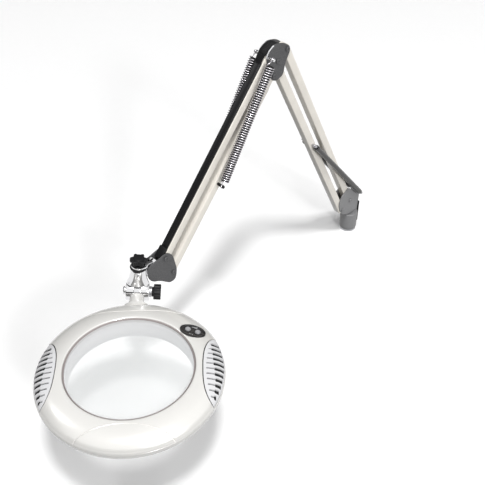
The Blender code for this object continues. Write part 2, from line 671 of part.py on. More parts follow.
UPPER_OFFSET = -3.0
LOWER_OFFSET = -2.5
BASE_REAR = plus(BASE_FRONT, LOWER_LINK)
ELBOW_FRONT = along(BASE_FRONT, LOWER_ANGLE, LOWER_LENGTH)
ELBOW_REAR = plus(ELBOW_FRONT, LOWER_LINK)
ELBOW_TOP = plus(ELBOW_LOW, UPPER_LINK)
WRIST_LOW = along(ELBOW_LOW, UPPER_ANGLE, UPPER_LENGTH)
WRIST_TOP = plus(WRIST_LOW, UPPER_LINK)
SPRING_FOOT = (13.0, 90.0)
LOWER_PIN_AT = 230.0
UPPER_PIN_AT = 194.0
TONGUE_LOW = 50.6
KNOB_LOW = 55.6
ELBOW_OUTLINE = [(-236.0, 502.0), (-246.0, 502.0), (-261.0, 491.0), (-257.0, 474.0), (-249.0, 446.0)]
ELBOW_OUTLINE += [(-243.0, 439.5), (-236.0, 438.0), (-222.0, 442.0), (-217.0, 464.0), (-207.5, 480.0)]
ELBOW_OUTLINE += [(-209.0, 489.0), (-221.0, 498.0)]
WRIST_OUTLINE = [(-519.0, 206.5), (-503.0, 209.5), (-478.0, 216.5), (-466.5, 205.0), (-459.5, 169.0)]
WRIST_OUTLINE += [(-464.0, 150.0), (-476.0, 148.5), (-496.0, 165.5), (-511.0, 172.5), (-518.5, 184.0)]


def relative(points, origin):
    return [(y - origin[0], z - origin[1]) for y, z in points]


def build_base():
    root = frame("root_frame", (0.0, 0.0, 0.0))
    turret = frame("base_swivel_axis", (0.0, 0.0, 0.0))
    mounting_spigot(root)
    base_bush(root)
    base_socket(turret)
    rear_cover(turret)
    base_plates(turret)
    pivot_pin("base_front_pin", BASE_FRONT, turret)
    pivot_pin("base_rear_pin", BASE_REAR, turret)
    spring_pin("spring_foot_pin", SPRING_FOOT, turret, 18.0, STEEL, 1.0)


def build_lower_arm():
    front = arm_frame("shoulder_axis", BASE_FRONT)
    bar("lower_front_bar", LOWER_LENGTH, front, LOWER_ANGLE, LOWER_OFFSET, 0.0, 34.0, LOWER_PIN_AT)
    rear = arm_frame("rear_bar_axis", BASE_REAR)
    bar("lower_rear_bar", LOWER_LENGTH, rear, LOWER_ANGLE, 0.0, 0.0, 0.0)
    y, z = direction(LOWER_ANGLE - 90.0)
    centre = plus(along((0.0, 0.0), LOWER_ANGLE, LOWER_PIN_AT), (y * LOWER_OFFSET, z * LOWER_OFFSET))
    spring_pin("lower_spring_pin", centre, front, 18.0, STEEL, 1.0)
    foot = relative([SPRING_FOOT], BASE_FRONT)[0]
    look = material("spring_sleeve", SLEEVE_GREY, 0.45)
    for side, suffix in ((-1, "left"), (1, "right")):
        spring_tube(f"lower_spring_{suffix}", centre, foot, side, 14.6, 4.9, 1.3, 6.0, front, look)


def build_elbow():
    elbow = arm_frame("elbow_axis", ELBOW_FRONT)
    pivots = relative([ELBOW_FRONT, ELBOW_REAR, ELBOW_LOW, ELBOW_TOP], ELBOW_FRONT)
    look = material("plate_graphite", GRAPHITE, 0.6, 0.3)
    side_plates("elbow_plate", relative(ELBOW_OUTLINE, ELBOW_FRONT), 7.0, pivots, elbow, look)
    pivot_pin("elbow_front_pin", pivots[0], elbow)
    pivot_pin("elbow_rear_pin", pivots[1], elbow)
    pivot_pin("elbow_low_pin", pivots[2], elbow)
    spring_pin("elbow_spring_pin", pivots[3], elbow, 22.0, CHROME, 1.0)
    cable_guard(elbow)


def build_upper_arm():
    low = arm_frame("elbow_fold_axis", ELBOW_LOW)
    bar("upper_bottom_bar", UPPER_LENGTH, low, UPPER_ANGLE, 0.0, 24.0, 0.0, UPPER_PIN_AT)
    top = arm_frame("top_bar_axis", ELBOW_TOP)
    bar("upper_top_bar", UPPER_LENGTH, top, UPPER_ANGLE, UPPER_OFFSET, 0.0, 0.0)
    wire_cover(top)
    wire_cover_end(top)
    anchor = along((0.0, 0.0), UPPER_ANGLE, UPPER_PIN_AT)
    spring_pin("upper_spring_pin", anchor, low, 22.0, BLACK, 0.0)
    look = material("spring_steel", STEEL, 0.3, 1.0)
    for side, suffix in ((-1, "left"), (1, "right")):
        spring_tube(f"upper_spring_{suffix}", UPPER_LINK, anchor, side, 17.6, 6.6, 1.4, 6.5, low, look)


def build_wrist():
    wrist = arm_frame("wrist_axis", WRIST_LOW)
    pivots = relative([WRIST_LOW, WRIST_TOP], WRIST_LOW)
    look = material("cover_graphite", GRAPHITE, 0.6, 0.3)
    side_plates("wrist_cover", relative(WRIST_OUTLINE, WRIST_LOW), 9.0, pivots, wrist, look)
    pivot_pin("wrist_low_pin", pivots[0], wrist)
    pivot_pin("wrist_top_pin", pivots[1], wrist)
    wrist_bracket(wrist)


def build_head():
    lean = Matrix.Rotation(math.radians(-SWIVEL_LEAN), 3, "X")
    yoke_turn = lean @ Matrix.Rotation(math.radians(HEAD_TURN), 3, "Z")
    swivel = frame("head_swivel_axis", TILT_PIVOT, yoke_turn)
    yoke(swivel)
    yoke_set_screw(swivel)
    washer("swivel_collar", swivel, 13.5, 4.4, 47.5, TONGUE_LOW - GAP, BLACK)
    washer("tilt_washer", swivel, 9.0, 4.3, EAR_OUTER + GAP, 22.7, STEEL, 1.0, sideways=True)
    knob = frame("star_knob_axis", TILT_PIVOT, yoke_turn)
    star_knob(knob)
    washer("knob_washer", knob, 11.0, 4.4, TONGUE_LOW + 3.0 + GAP, KNOB_LOW - GAP, BLACK)
    clamp = frame("tilt_knob_axis", TILT_PIVOT, yoke_turn)
    tilt_bolt(clamp)
    tilt_knob(clamp)
    level = math.atan(math.cos(math.radians(HEAD_TURN)) * math.tan(math.radians(SWIVEL_LEAN)))
    tilt_turn = yoke_turn @ Matrix.Rotation(level, 3, "X")
    neck_knuckle(frame("head_tilt_axis", TILT_PIVOT, tilt_turn))
    back = tilt_turn.col[1].normalized()
    upright = Vector((0.0, 0.0, 1.0))
    head_turn = Matrix((back.cross(upright), back, upright)).transposed()
    head = frame("head_frame", TILT_PIVOT, head_turn)
    upper_shell(head)
    head_inside(head)
    driver_board(head)
    vent_grille(-1, "vent_left", head)
    vent_grille(1, "vent_right", head)
    control_pad(head)
    key("power_key", KEY_PLACES[0], head)
    key("brightness_key", KEY_PLACES[1], head)
    for k in range(2):
        shell_screw(f"shell_screw_{k + 1}", 60.0 + 60.0 * k, head)


def main():
    clear_scene()
    build_base()
    build_lower_arm()
    build_elbow()
    build_upper_arm()
    build_wrist()
    build_head()


main()
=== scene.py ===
"""Magnifying lamp on a balanced arm: shells, coils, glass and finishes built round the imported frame."""

import json
import logging
import math
from collections.abc import Callable
from dataclasses import dataclass
from enum import Enum

import bpy
from mathutils import Matrix, Vector


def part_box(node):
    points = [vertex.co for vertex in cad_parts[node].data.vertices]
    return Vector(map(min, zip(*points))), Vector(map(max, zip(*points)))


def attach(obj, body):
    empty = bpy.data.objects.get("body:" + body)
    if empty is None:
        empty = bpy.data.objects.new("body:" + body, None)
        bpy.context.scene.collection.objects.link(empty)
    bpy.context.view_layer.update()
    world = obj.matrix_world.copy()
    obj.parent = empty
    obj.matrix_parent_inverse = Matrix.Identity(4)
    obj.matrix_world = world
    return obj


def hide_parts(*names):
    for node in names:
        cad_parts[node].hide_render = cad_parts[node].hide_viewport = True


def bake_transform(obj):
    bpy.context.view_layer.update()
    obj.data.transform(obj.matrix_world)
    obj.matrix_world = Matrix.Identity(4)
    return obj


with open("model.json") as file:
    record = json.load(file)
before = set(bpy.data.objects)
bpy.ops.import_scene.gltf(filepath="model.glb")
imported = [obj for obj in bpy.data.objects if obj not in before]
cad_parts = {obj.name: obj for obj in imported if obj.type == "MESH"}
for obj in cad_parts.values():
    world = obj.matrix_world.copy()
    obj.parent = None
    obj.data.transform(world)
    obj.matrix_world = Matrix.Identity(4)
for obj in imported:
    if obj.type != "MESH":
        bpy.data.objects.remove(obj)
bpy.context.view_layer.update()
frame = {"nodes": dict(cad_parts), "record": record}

MM = 0.001
log = logging.getLogger("lamp")

Outline = list[tuple[float, float]]
Colour = tuple[float, float, float]

# Turns a slab drawn in XY and pushed along Z into one drawn in YZ and pushed along X.
SIDEWAYS = Matrix(((0, 0, 1, 0), (1, 0, 0, 0), (0, 1, 0, 0), (0, 0, 0, 1)))


# ------------------------------------------------------------------ finishes

class Grain(Enum):
    """What a surface looks like close up."""

    PLAIN = "plain"
    ORANGE_PEEL = "orange peel"
    SAND = "sand"
    BRUSHED = "brushed"


@dataclass(frozen=True)
class Finish:
    """One finish: its colour, its gloss and its grain.

    Attributes:
        name: material name.
        colour: mean colour, linear.
        roughness: mean roughness.
        metallic: 1 for bare metal.
        grain: pattern of the surface.
        pitch: how many grains to a millimetre.
        depth: height of the grain in millimetres.
        spread: how far the colour strays, as a share of it.
        coat: strength of a clear coat.
        alpha: below 1 for glass.
        glow: strength of its own faint light.
        specular: strength of the gloss, 0.5 for common plastic.
    """

    name: str
    colour: Colour
    roughness: float
    metallic: float = 0.0
    grain: Grain = Grain.PLAIN
    pitch: float = 1.0
    depth: float = 0.01
    spread: float = 0.04
    coat: float = 0.0
    alpha: float = 1.0
    glow: float = 0.0
    specular: float = 0.5

    def stretch(self) -> tuple[float, float, float]:
        """How far the grain is drawn out along each axis."""
        return (1.0, 1.0, 0.04) if self.grain is Grain.BRUSHED else (1.0, 1.0, 1.0)

    def build(self) -> bpy.types.Material:
        """Makes the material, or finds the one made before.

        Returns:
            The material, with its colour, roughness and bump from nodes.
        """
        found = bpy.data.materials.get(self.name)
        if found:
            return found
        made = bpy.data.materials.new(self.name)
        made.use_nodes = True
        tree = made.node_tree
        shader = tree.nodes["Principled BSDF"]
        shader.inputs["Metallic"].default_value = self.metallic
        shader.inputs["Coat Weight"].default_value = self.coat
        shader.inputs["Specular IOR Level"].default_value = self.specular
        shader.inputs["Coat Roughness"].default_value = 0.08
        shader.inputs["Alpha"].default_value = self.alpha
        shader.inputs["Emission Color"].default_value = (1.0, 1.0, 1.0, 1.0)
        shader.inputs["Emission Strength"].default_value = self.glow
        place = tree.nodes.new("ShaderNodeTexCoord")
        mapping = tree.nodes.new("ShaderNodeMapping")
        mapping.inputs["Scale"].default_value = self.stretch()
        tree.links.new(place.outputs["Object"], mapping.inputs["Vector"])
        self.vary_colour(tree, mapping, shader)
        self.add_grain(tree, mapping, shader)
        return made

    def noise(self, tree: bpy.types.NodeTree, mapping: bpy.types.Node, per_mm: float,
              detail: float) -> bpy.types.Node:
        """Adds a noise node on the mapped coordinates.

        Args:
            tree: the material's nodes.
            mapping: node that gives the coordinates.
            per_mm: grains to a millimetre.
            detail: how many finer layers the noise has.

        Returns:
            The noise node.
        """
        node = tree.nodes.new("ShaderNodeTexNoise")
        node.inputs["Scale"].default_value = per_mm / MM
        node.inputs["Detail"].default_value = detail
        tree.links.new(mapping.outputs["Vector"], node.inputs["Vector"])
        return node

    def vary_colour(self, tree: bpy.types.NodeTree, mapping: bpy.types.Node, shader: bpy.types.Node) -> None:
        """Lets colour and roughness stray a little over the piece.

        Args:
            tree: the material's nodes.
            mapping: node that gives the coordinates.
            shader: the Principled node.
        """
        broad = self.noise(tree, mapping, self.pitch * (0.6 if self.grain is Grain.SAND else 0.05), 4.0)
        ramp = tree.nodes.new("ShaderNodeValToRGB")
        low, high = 1.0 - self.spread, 1.0 + self.spread
        ramp.color_ramp.elements[0].position = 0.3
        ramp.color_ramp.elements[1].position = 0.7
        ramp.color_ramp.elements[0].color = (*(min(1.0, c * low) for c in self.colour), 1.0)
        ramp.color_ramp.elements[1].color = (*(min(1.0, c * high) for c in self.colour), 1.0)
        tree.links.new(broad.outputs["Fac"], ramp.inputs["Fac"])
        tree.links.new(ramp.outputs["Color"], shader.inputs["Base Color"])
        gloss = tree.nodes.new("ShaderNodeMapRange")
        gloss.inputs["To Min"].default_value = max(0.01, self.roughness * 0.82)
        gloss.inputs["To Max"].default_value = min(1.0, self.roughness * 1.18)
        tree.links.new(broad.outputs["Fac"], gloss.inputs["Value"])
        tree.links.new(gloss.outputs["Result"], shader.inputs["Roughness"])

    def add_grain(self, tree: bpy.types.NodeTree, mapping: bpy.types.Node, shader: bpy.types.Node) -> None:
        """Adds the bump of the grain.

        Args:
            tree: the material's nodes.
            mapping: node that gives the coordinates.
            shader: the Principled node.
        """
        fine = self.noise(tree, mapping, self.pitch, 2.0)
        bump = tree.nodes.new("ShaderNodeBump")
        bump.inputs["Strength"].default_value = 0.0 if self.grain is Grain.PLAIN else 0.6
        bump.inputs["Distance"].default_value = self.depth * MM
        tree.links.new(fine.outputs["Fac"], bump.inputs["Height"])
        tree.links.new(bump.outputs["Normal"], shader.inputs["Normal"])


CREAM_ENAMEL = Finish("cream_enamel", (0.86, 0.82, 0.75), 0.32, grain=Grain.ORANGE_PEEL, pitch=0.8,
                      depth=0.02, coat=0.25)
PEARL_SHELL = Finish("pearl_shell", (0.73, 0.72, 0.695), 0.24, 0.12, Grain.ORANGE_PEEL, 0.5, 0.01, 0.02, 0.5)
GRAPHITE_COAT = Finish("graphite_coat", (0.100, 0.100, 0.103), 0.5, 0.3, Grain.SAND, 1.4, 0.12, 0.35)
CAST_PAINT = Finish("cast_paint", (0.25, 0.25, 0.255), 0.42, 0.25, Grain.SAND, 1.0, 0.05, 0.12)
BLACK_MOULDING = Finish("black_moulding", (0.011, 0.011, 0.012), 0.42, grain=Grain.SAND, pitch=1.6, depth=0.03,
                        specular=0.22)
BLACK_GLOSS = Finish("black_gloss", (0.008, 0.008, 0.009), 0.14, grain=Grain.ORANGE_PEEL, pitch=0.6,
                     depth=0.01, coat=0.5)
SLEEVE_RUBBER = Finish("sleeve_rubber", (0.040, 0.039, 0.038), 0.26, grain=Grain.ORANGE_PEEL, pitch=0.5,
                       depth=0.03, coat=0.2)
SPRING_WIRE = Finish("spring_wire", (0.68, 0.66, 0.69), 0.2, 1.0, Grain.BRUSHED, 3.0, 0.01)
ZINC = Finish("zinc", (0.50, 0.50, 0.52), 0.35, 1.0, Grain.BRUSHED, 2.5, 0.01, 0.08)
CHROME = Finish("chrome", (0.86, 0.86, 0.87), 0.07, 1.0, Grain.ORANGE_PEEL, 0.2, 0.004, 0.02)
BRONZE = Finish("bronze", (0.50, 0.33, 0.14), 0.36, 1.0, Grain.SAND, 2.5, 0.02, 0.15)
VENT_SILVER = Finish("vent_silver", (0.84, 0.84, 0.84), 0.24, 0.15, Grain.ORANGE_PEEL, 0.6, 0.01, 0.02, 0.4)
# Near-black matt finish used as painted shade: the sleeve inside the coil springs and the sheet behind the vent
# louvres.
PAINTED_SHADE_BLACK = Finish("painted_shade_black", (0.010, 0.010, 0.011), 0.8, grain=Grain.SAND, pitch=2.0, depth=0.1)
LENS_GLASS = Finish("lens_glass", (0.95, 0.97, 0.97), 0.015, spread=0.01, coat=0.3, alpha=0.06)
GASKET = Finish("gasket", (0.30, 0.26, 0.255), 0.5, grain=Grain.SAND, pitch=1.5, depth=0.02)
PALE_LINER = Finish("pale_liner", (0.70, 0.68, 0.705), 0.38, grain=Grain.ORANGE_PEEL, pitch=0.6, depth=0.02)
FROSTED = Finish("frosted_window", (0.86, 0.86, 0.84), 0.5, grain=Grain.SAND, pitch=3.0, depth=0.03)
BOARD_GREEN = Finish("board_green", (0.02, 0.13, 0.05), 0.35, grain=Grain.ORANGE_PEEL, pitch=1.5, depth=0.02,
                     spread=0.2)
KEY_GREY = Finish("key_grey", (0.02, 0.02, 0.021), 0.55, grain=Grain.SAND, pitch=2.5, depth=0.02)
FLOOR_WHITE = Finish("floor_white", (0.95, 0.95, 0.95), 0.6, spread=0.004, glow=0.03)
MARK_WHITE = Finish("mark_white", (0.55, 0.55, 0.55), 0.4, grain=Grain.SAND, pitch=2.5, depth=0.01)


# ------------------------------------------------------------------ bench tools

def deselect() -> None:
    """Lets go of everything that is selected."""
    for obj in bpy.context.selected_objects:
        obj.select_set(False)


def hold(obj: bpy.types.Object) -> None:
    """Selects this object alone and makes it the active one."""
    deselect()
    obj.select_set(True)
    bpy.context.view_layer.objects.active = obj


def ring(name: str, points: list[tuple[float, float, float]], filled: bool) -> bpy.types.Object:
    """A primitive circle whose points are moved onto a closed outline.

    Args:
        name: the object's name.
        points: the outline, in millimetres.
        filled: True for a face inside it.

    Returns:
        The object.
    """
    deselect()
    fill = "NGON" if filled else "NOTHING"
    bpy.ops.mesh.primitive_circle_add(vertices=len(points), radius=1.0, fill_type=fill)
    obj = bpy.context.object
    obj.name = name
    for vertex, point in zip(obj.data.vertices, points):
        vertex.co = point
    return obj


def clean(obj: bpy.types.Object, reach: float = 0.001) -> bpy.types.Object:
    """Merges doubled points, drops loose ones and turns all faces outwards.

    Args:
        obj: the piece.
        reach: points nearer than this are merged, in millimetres.

    Returns:
        The same object.
    """
    hold(obj)
    bpy.ops.object.mode_set(mode="EDIT")
    bpy.ops.mesh.select_all(action="SELECT")
    bpy.ops.mesh.remove_doubles(threshold=reach)
    bpy.ops.mesh.delete_loose()
    bpy.ops.mesh.select_all(action="SELECT")
    bpy.ops.mesh.normals_make_consistent(inside=False)
    bpy.ops.object.mode_set(mode="OBJECT")
    return obj


def spun(name: str, profile: Outline, steps: int = 48) -> bpy.types.Object:
    """Spins a closed outline of (radius, height) about Z.

    Args:
        name: the object's name.
        profile: the outline; a solid piece has its first and last points on the axis.
        steps: how many parts the full turn has.

    Returns:
        The object, in millimetres.
    """
    obj = ring(name, [(radius, 0.0, height) for radius, height in profile], filled=False)
    hold(obj)
    bpy.ops.object.mode_set(mode="EDIT")
    bpy.ops.mesh.select_all(action="SELECT")
    bpy.ops.mesh.spin(steps=steps, angle=math.tau, center=(0, 0, 0), axis=(0, 0, 1), use_auto_merge=True)
    bpy.ops.object.mode_set(mode="OBJECT")
    return clean(obj)


def slab(name: str, outline: Outline, low: float, high: float) -> bpy.types.Object:
    """Extrudes a filled outline from low to high.

    Args:
        name: the object's name.
        outline: points in XY, in millimetres.
        low: height of the first face.
        high: height of the second face.

    Returns:
        The object.
    """
    obj = ring(name, [(x, y, low) for x, y in outline], filled=True)
    hold(obj)
    bpy.ops.object.mode_set(mode="EDIT")
    bpy.ops.mesh.select_all(action="SELECT")
    bpy.ops.mesh.extrude_region_move(TRANSFORM_OT_translate={"value": (0.0, 0.0, high - low)})
    bpy.ops.object.mode_set(mode="OBJECT")
    return clean(obj)


def sunk(obj: bpy.types.Object, normal: tuple[float, float, float], margin: float,
         depth: float) -> bpy.types.Object:
    """Insets the flat faces that look along a normal and pushes the inset part down.

    Args:
        obj: the piece, still in its own frame.
        normal: direction that the faces look in.
        margin: width of the rim left standing, in millimetres.
        depth: how far the panel goes down; below zero it stands proud.

    Returns:
        The same object.
    """
    hold(obj)
    for part in (*obj.data.vertices, *obj.data.edges):
        part.select = False
    for face in obj.data.polygons:
        face.select = face.normal.dot(Vector(normal)) > 0.99
    bpy.context.tool_settings.mesh_select_mode = (False, False, True)
    bpy.ops.object.mode_set(mode="EDIT")
    bpy.ops.mesh.inset(thickness=margin, depth=-depth)
    bpy.ops.object.mode_set(mode="OBJECT")
    bpy.context.tool_settings.mesh_select_mode = (True, False, False)
    return obj


def apply_modifier(obj: bpy.types.Object, kind: str, **settings: object) -> bpy.types.Object:
    """Adds a modifier with these settings and applies it.

    Args:
        obj: the piece.
        kind: Blender's name for the modifier.
        settings: its settings.

    Returns:
        The same object.
    """
    hold(obj)
    modifier = obj.modifiers.new(kind.title(), kind)
    for key, value in settings.items():
        setattr(modifier, key, value)
    bpy.ops.object.modifier_apply(modifier=modifier.name)
    return obj


def eased(obj: bpy.types.Object, width: float, segments: int = 3, angle: float = 40.0) -> bpy.types.Object:
    """Rounds the sharp edges.

    Args:
        obj: the piece.
        width: width of the rounding, in millimetres.
        segments: parts of the rounding.
        angle: an edge sharper than this is rounded, in degrees.

    Returns:
        The same object.
    """
    return apply_modifier(obj, "BEVEL", width=width, segments=segments, limit_method="ANGLE",
                          angle_limit=math.radians(angle), use_clamp_overlap=True)


def combined(obj: bpy.types.Object, other: bpy.types.Object, operation: str) -> bpy.types.Object:
    """Applies an exact Boolean with another object, which is then deleted.

    Args:
        obj: the piece.
        other: the cutter or the part to join, in the same frame.
        operation: DIFFERENCE, UNION or INTERSECT.

    Returns:
        The piece.
    """
    apply_modifier(obj, "BOOLEAN", operation=operation, solver="EXACT", object=other)
    bpy.data.objects.remove(other, do_unlink=True)
    return obj


def cut(obj: bpy.types.Object, cutter: bpy.types.Object) -> bpy.types.Object:
    """Takes the cutter's shape out of the piece."""
    return combined(obj, cutter, "DIFFERENCE")


def rod(name: str, radius: float, low: float, high: float, steps: int = 24) -> bpy.types.Object:
    """A plain round bar along Z, used as a cutter."""
    return spun(name, [(0.0, low), (radius, low), (radius, high), (0.0, high)], steps)


def shifted(obj: bpy.types.Object, place: Matrix) -> bpy.types.Object:
    """Moves the mesh itself, so that the object stays at the origin.

    Args:
        obj: the piece.
        place: the move.

    Returns:
        The same object.
    """
    obj.data.transform(place)
    obj.data.update()
    return obj


def wire(name: str, points: list[Vector], radius: float, sides: int = 2) -> bpy.types.Object:
    """A round wire along a run of points, made a mesh.

    Args:
        name: the object's name.
        points: its centre line in millimetres.
        radius: half its thickness.
        sides: Blender's bevel resolution.

    Returns:
        The object.
    """
    data = bpy.data.curves.new(name, "CURVE")
    data.dimensions = "3D"
    data.bevel_depth = radius
    data.bevel_resolution = sides
    data.use_fill_caps = True
    spline = data.splines.new("POLY")
    spline.points.add(len(points) - 1)
    for target, point in zip(spline.points, points):
        target.co = (*point, 1.0)
    obj = bpy.data.objects.new(name, data)
    bpy.context.scene.collection.objects.link(obj)
    hold(obj)
    bpy.ops.object.convert(target="MESH")
    return clean(bpy.context.object, 0.0001)


def gathered(pieces: list[bpy.types.Object]) -> bpy.types.Object:
    """Joins objects into the first one.

    Args:
        pieces: the objects.

    Returns:
        The first of them.
    """
    hold(pieces[0])
    for piece in pieces:
        piece.select_set(True)
    bpy.ops.object.join()
    return pieces[0]


def arc(radius: float, start: float, end: float, steps: int, centre: tuple[float, float] = (0.0, 0.0)) -> Outline:
    """Points on an arc.

    Args:
        radius: its radius.
        start: angle of its first point, in degrees.
        end: angle of its last point.
        steps: parts of the arc.
        centre: its centre.

    Returns:
        The points.
    """
    turns = [math.radians(start + (end - start) * k / max(1, steps)) for k in range(steps + 1)]
    return [(centre[0] + radius * math.cos(a), centre[1] + radius * math.sin(a)) for a in turns]


def lobed(radius: float, swell: float, lobes: int, steps: int) -> Outline:
    """A round outline whose edge swells and dips.

    Args:
        radius: mean radius.
        swell: how far it swells and dips.
        lobes: how often it does.
        steps: points in the full turn.

    Returns:
        The outline.
    """
    turns = [math.tau * k / steps for k in range(steps)]
    reaches = [radius + swell * math.cos(lobes * a) for a in turns]
    return [(reach * math.cos(a), reach * math.sin(a)) for reach, a in zip(reaches, turns)]


def oval(half_x: float, half_y: float, steps: int, power: float = 1.0,
         centre: tuple[float, float] = (0.0, 0.0)) -> Outline:
    """An oval outline.

    Args:
        half_x: half its size along X.
        half_y: half its size along Y.
        steps: points in the full turn.
        power: 1 for an ellipse, below 1 for fuller corners.
        centre: its centre.

    Returns:
        The outline.
    """
    result: Outline = []
    for k in range(steps):
        c, s = math.cos(math.tau * k / steps), math.sin(math.tau * k / steps)
        x, y = (math.copysign(abs(v) ** power, v) for v in (c, s))
        result.append((centre[0] + x * half_x, centre[1] + y * half_y))
    return result


def rounded(corners: Outline, radius: float, steps: int = 6) -> Outline:
    """The outline with each corner eased by a short curve.

    Args:
        corners: the corners, in order.
        radius: how far from a corner its curve starts, at most.
        steps: parts of each curve.

    Returns:
        The eased outline.
    """
    result: Outline = []
    for i, corner in enumerate(corners):
        here = Vector(corner)
        before = Vector(corners[i - 1]) - here
        after = Vector(corners[(i + 1) % len(corners)]) - here
        reach = min(radius, 0.45 * before.length, 0.45 * after.length)
        start, end = here + before.normalized() * reach, here + after.normalized() * reach
        for k in range(steps + 1):
            t = k / steps
            point = start * (1 - t) ** 2 + here * (2 * t * (1 - t)) + end * t ** 2
            result.append((point.x, point.y))
    return result


def fitted(obj: bpy.types.Object, body: str, finish: Finish, slot: str, *stands_for: str,
           place: Matrix | None = None, angle: float = 35.0) -> bpy.types.Object:
    """Brings a finished piece into the frame and dresses it.

    Args:
        obj: the piece in its own frame, in millimetres.
        body: CAD body that it rides on.
        finish: its finish.
        slot: the record's material slot; not used.
        stands_for: CAD nodes that it replaces.
        place: its own frame in the lamp, in millimetres.
        angle: edges sharper than this stay crisp.

    Returns:
        The piece.
    """
    shifted(obj, Matrix.Scale(MM, 4) @ (place or Matrix.Identity(4)))
    hold(obj)
    bpy.ops.object.shade_smooth_by_angle(angle=math.radians(angle))
    obj.data.materials.clear()
    obj.data.materials.append(finish.build())
    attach(obj, body)
    if stands_for:
        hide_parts(*stands_for)
    log.info("%s: %d faces, on %s", obj.name, len(obj.data.polygons), body)
    return obj


def strung(obj: bpy.types.Object, ends: tuple[Vector, Vector], bodies: tuple[str, str], finish: Finish,
           angle: float = 40.0, place: Matrix | None = None) -> bpy.types.Object:
    """Brings a piece that runs from one body to another into the frame and dresses it.

    Args:
        obj: the piece in its own frame, in millimetres.
        ends: its first and last point.
        bodies: body of each end.
        finish: its finish.
        angle: edges sharper than this stay crisp.
        place: its own frame in the lamp; from end to end where none is given.

    Returns:
        The piece.
    """
    start, end = ends
    shifted(obj, Matrix.Scale(MM, 4) @ (place or arm_frame(start, end)))
    hold(obj)
    bpy.ops.object.shade_smooth_by_angle(angle=math.radians(angle))
    obj.data.materials.append(finish.build())
    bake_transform(obj)
    log.info("%s: %d faces, from %s to %s", obj.name, len(obj.data.polygons), *bodies)
    return obj


def repaint(node: str, finish: Finish) -> None:
    """Gives a CAD node that stays its finish.

    Args:
        node: the node's name.
        finish: its finish.
    """
    obj = frame["nodes"][node]
    made = finish.build()
    if not obj.material_slots:
        obj.data.materials.append(made)
    for place in obj.material_slots:
        place.material = made
    log.info("%s keeps its CAD shape", node)


# ------------------------------------------------------------------ where things are

JOINTS = {joint["name"]: joint for joint in frame["record"]["behaviour"]["joints"]}


def pivot(joint: str) -> Vector:
    """Place of a joint in millimetres."""
    return Vector(JOINTS[joint]["pos_m"]) / MM


def axis_of(joint: str) -> Vector:
    """Direction of a joint's axis."""
    return Vector(JOINTS[joint]["axis"]).normalized()


def frame_at(origin: Vector, up: Vector, across: Vector) -> Matrix:
    """A frame with Z along up and X as near to across as it can be.

    Args:
        origin: its origin.
        up: direction of Z.
        across: rough direction of X.

    Returns:
        The frame.
    """
    z = up.normalized()
    x = (across - z * across.dot(z)).normalized()
    y = z.cross(x)
    return Matrix.Translation(origin) @ Matrix((x, y, z)).transposed().to_4x4()


def arm_frame(start: Vector, end: Vector) -> Matrix:
    """A bar's frame: Z runs from pivot to pivot and X across the arm."""
    return frame_at(start, end - start, Vector((1, 0, 0)))


def centre_of(node: str) -> Vector:
    """Middle of a CAD node's box, in millimetres."""
    low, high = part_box(node)
    return (Vector(low) + Vector(high)) / 2 / MM


BASE_FRONT = pivot("shoulder")
BASE_REAR = pivot("lower_rear_pivot")
ELBOW_FRONT = pivot("elbow_level")
ELBOW_REAR = ELBOW_FRONT + BASE_REAR - BASE_FRONT
ELBOW_LOW = pivot("elbow_fold")
ELBOW_TOP = pivot("upper_top_pivot")
WRIST_LOW = pivot("wrist_level")
WRIST_TOP = WRIST_LOW + ELBOW_TOP - ELBOW_LOW
TILT_POINT = pivot("head_tilt")
YOKE_FRAME = frame_at(TILT_POINT, axis_of("head_swivel"), axis_of("head_tilt"))


def head_frame() -> Matrix:
    """The head's level frame.

    Returns:
        A frame with its origin on the lens axis in the rim plane, and Y pointing to the neck.
    """
    centre = centre_of("lens")
    centre.z = TILT_POINT.z
    back = (TILT_POINT - centre).normalized()
    return frame_at(centre, Vector((0, 0, 1)), back.cross(Vector((0, 0, 1))))


HEAD_FRAME = head_frame()
NECK_REACH = (TILT_POINT - HEAD_FRAME.translation).length


# ------------------------------------------------------------------ small hardware

@dataclass
class Pin:
    """Headed pivot pin with a hex recess in each head.

    Attributes:
        shank: radius of the shank.
        head: radius of the head.
        inner: where the head starts.
        outer: where the head ends.
        recess: radius of the hex recess.
    """

    shank: float = 2.5
    head: float = 4.3
    inner: float = 9.8
    outer: float = 11.1
    recess: float = 1.6

    def profile(self) -> Outline:
        """Half of the outline, from the middle of the shank to the end of the head.

        Returns:
            The points, the outer end first.
        """
        top = [(0.0, self.outer - 0.7), (self.recess, self.outer - 0.7), (self.recess + 0.1, self.outer)]
        side = arc(0.9, 90, 0, 4, (self.head - 0.9, self.outer - 0.9))
        return top + side + [(self.head, self.inner), (self.shank, self.inner)]

    def build(self, name: str, body: str, finish: Finish) -> bpy.types.Object:
        """Spins the pin and puts it where the CAD pin is.

        Args:
            name: CAD node that it stands for.
            body: body that it rides on.
            finish: its finish.

        Returns:
            The pin.
        """
        half = self.profile()
        mirrored = [(radius, -height) for radius, height in reversed(half)]
        obj = spun(name + "_bolt", half + mirrored, 28)
        return fitted(obj, body, finish, "pin_steel", name, place=Matrix.Translation(centre_of(name)) @ SIDEWAYS)


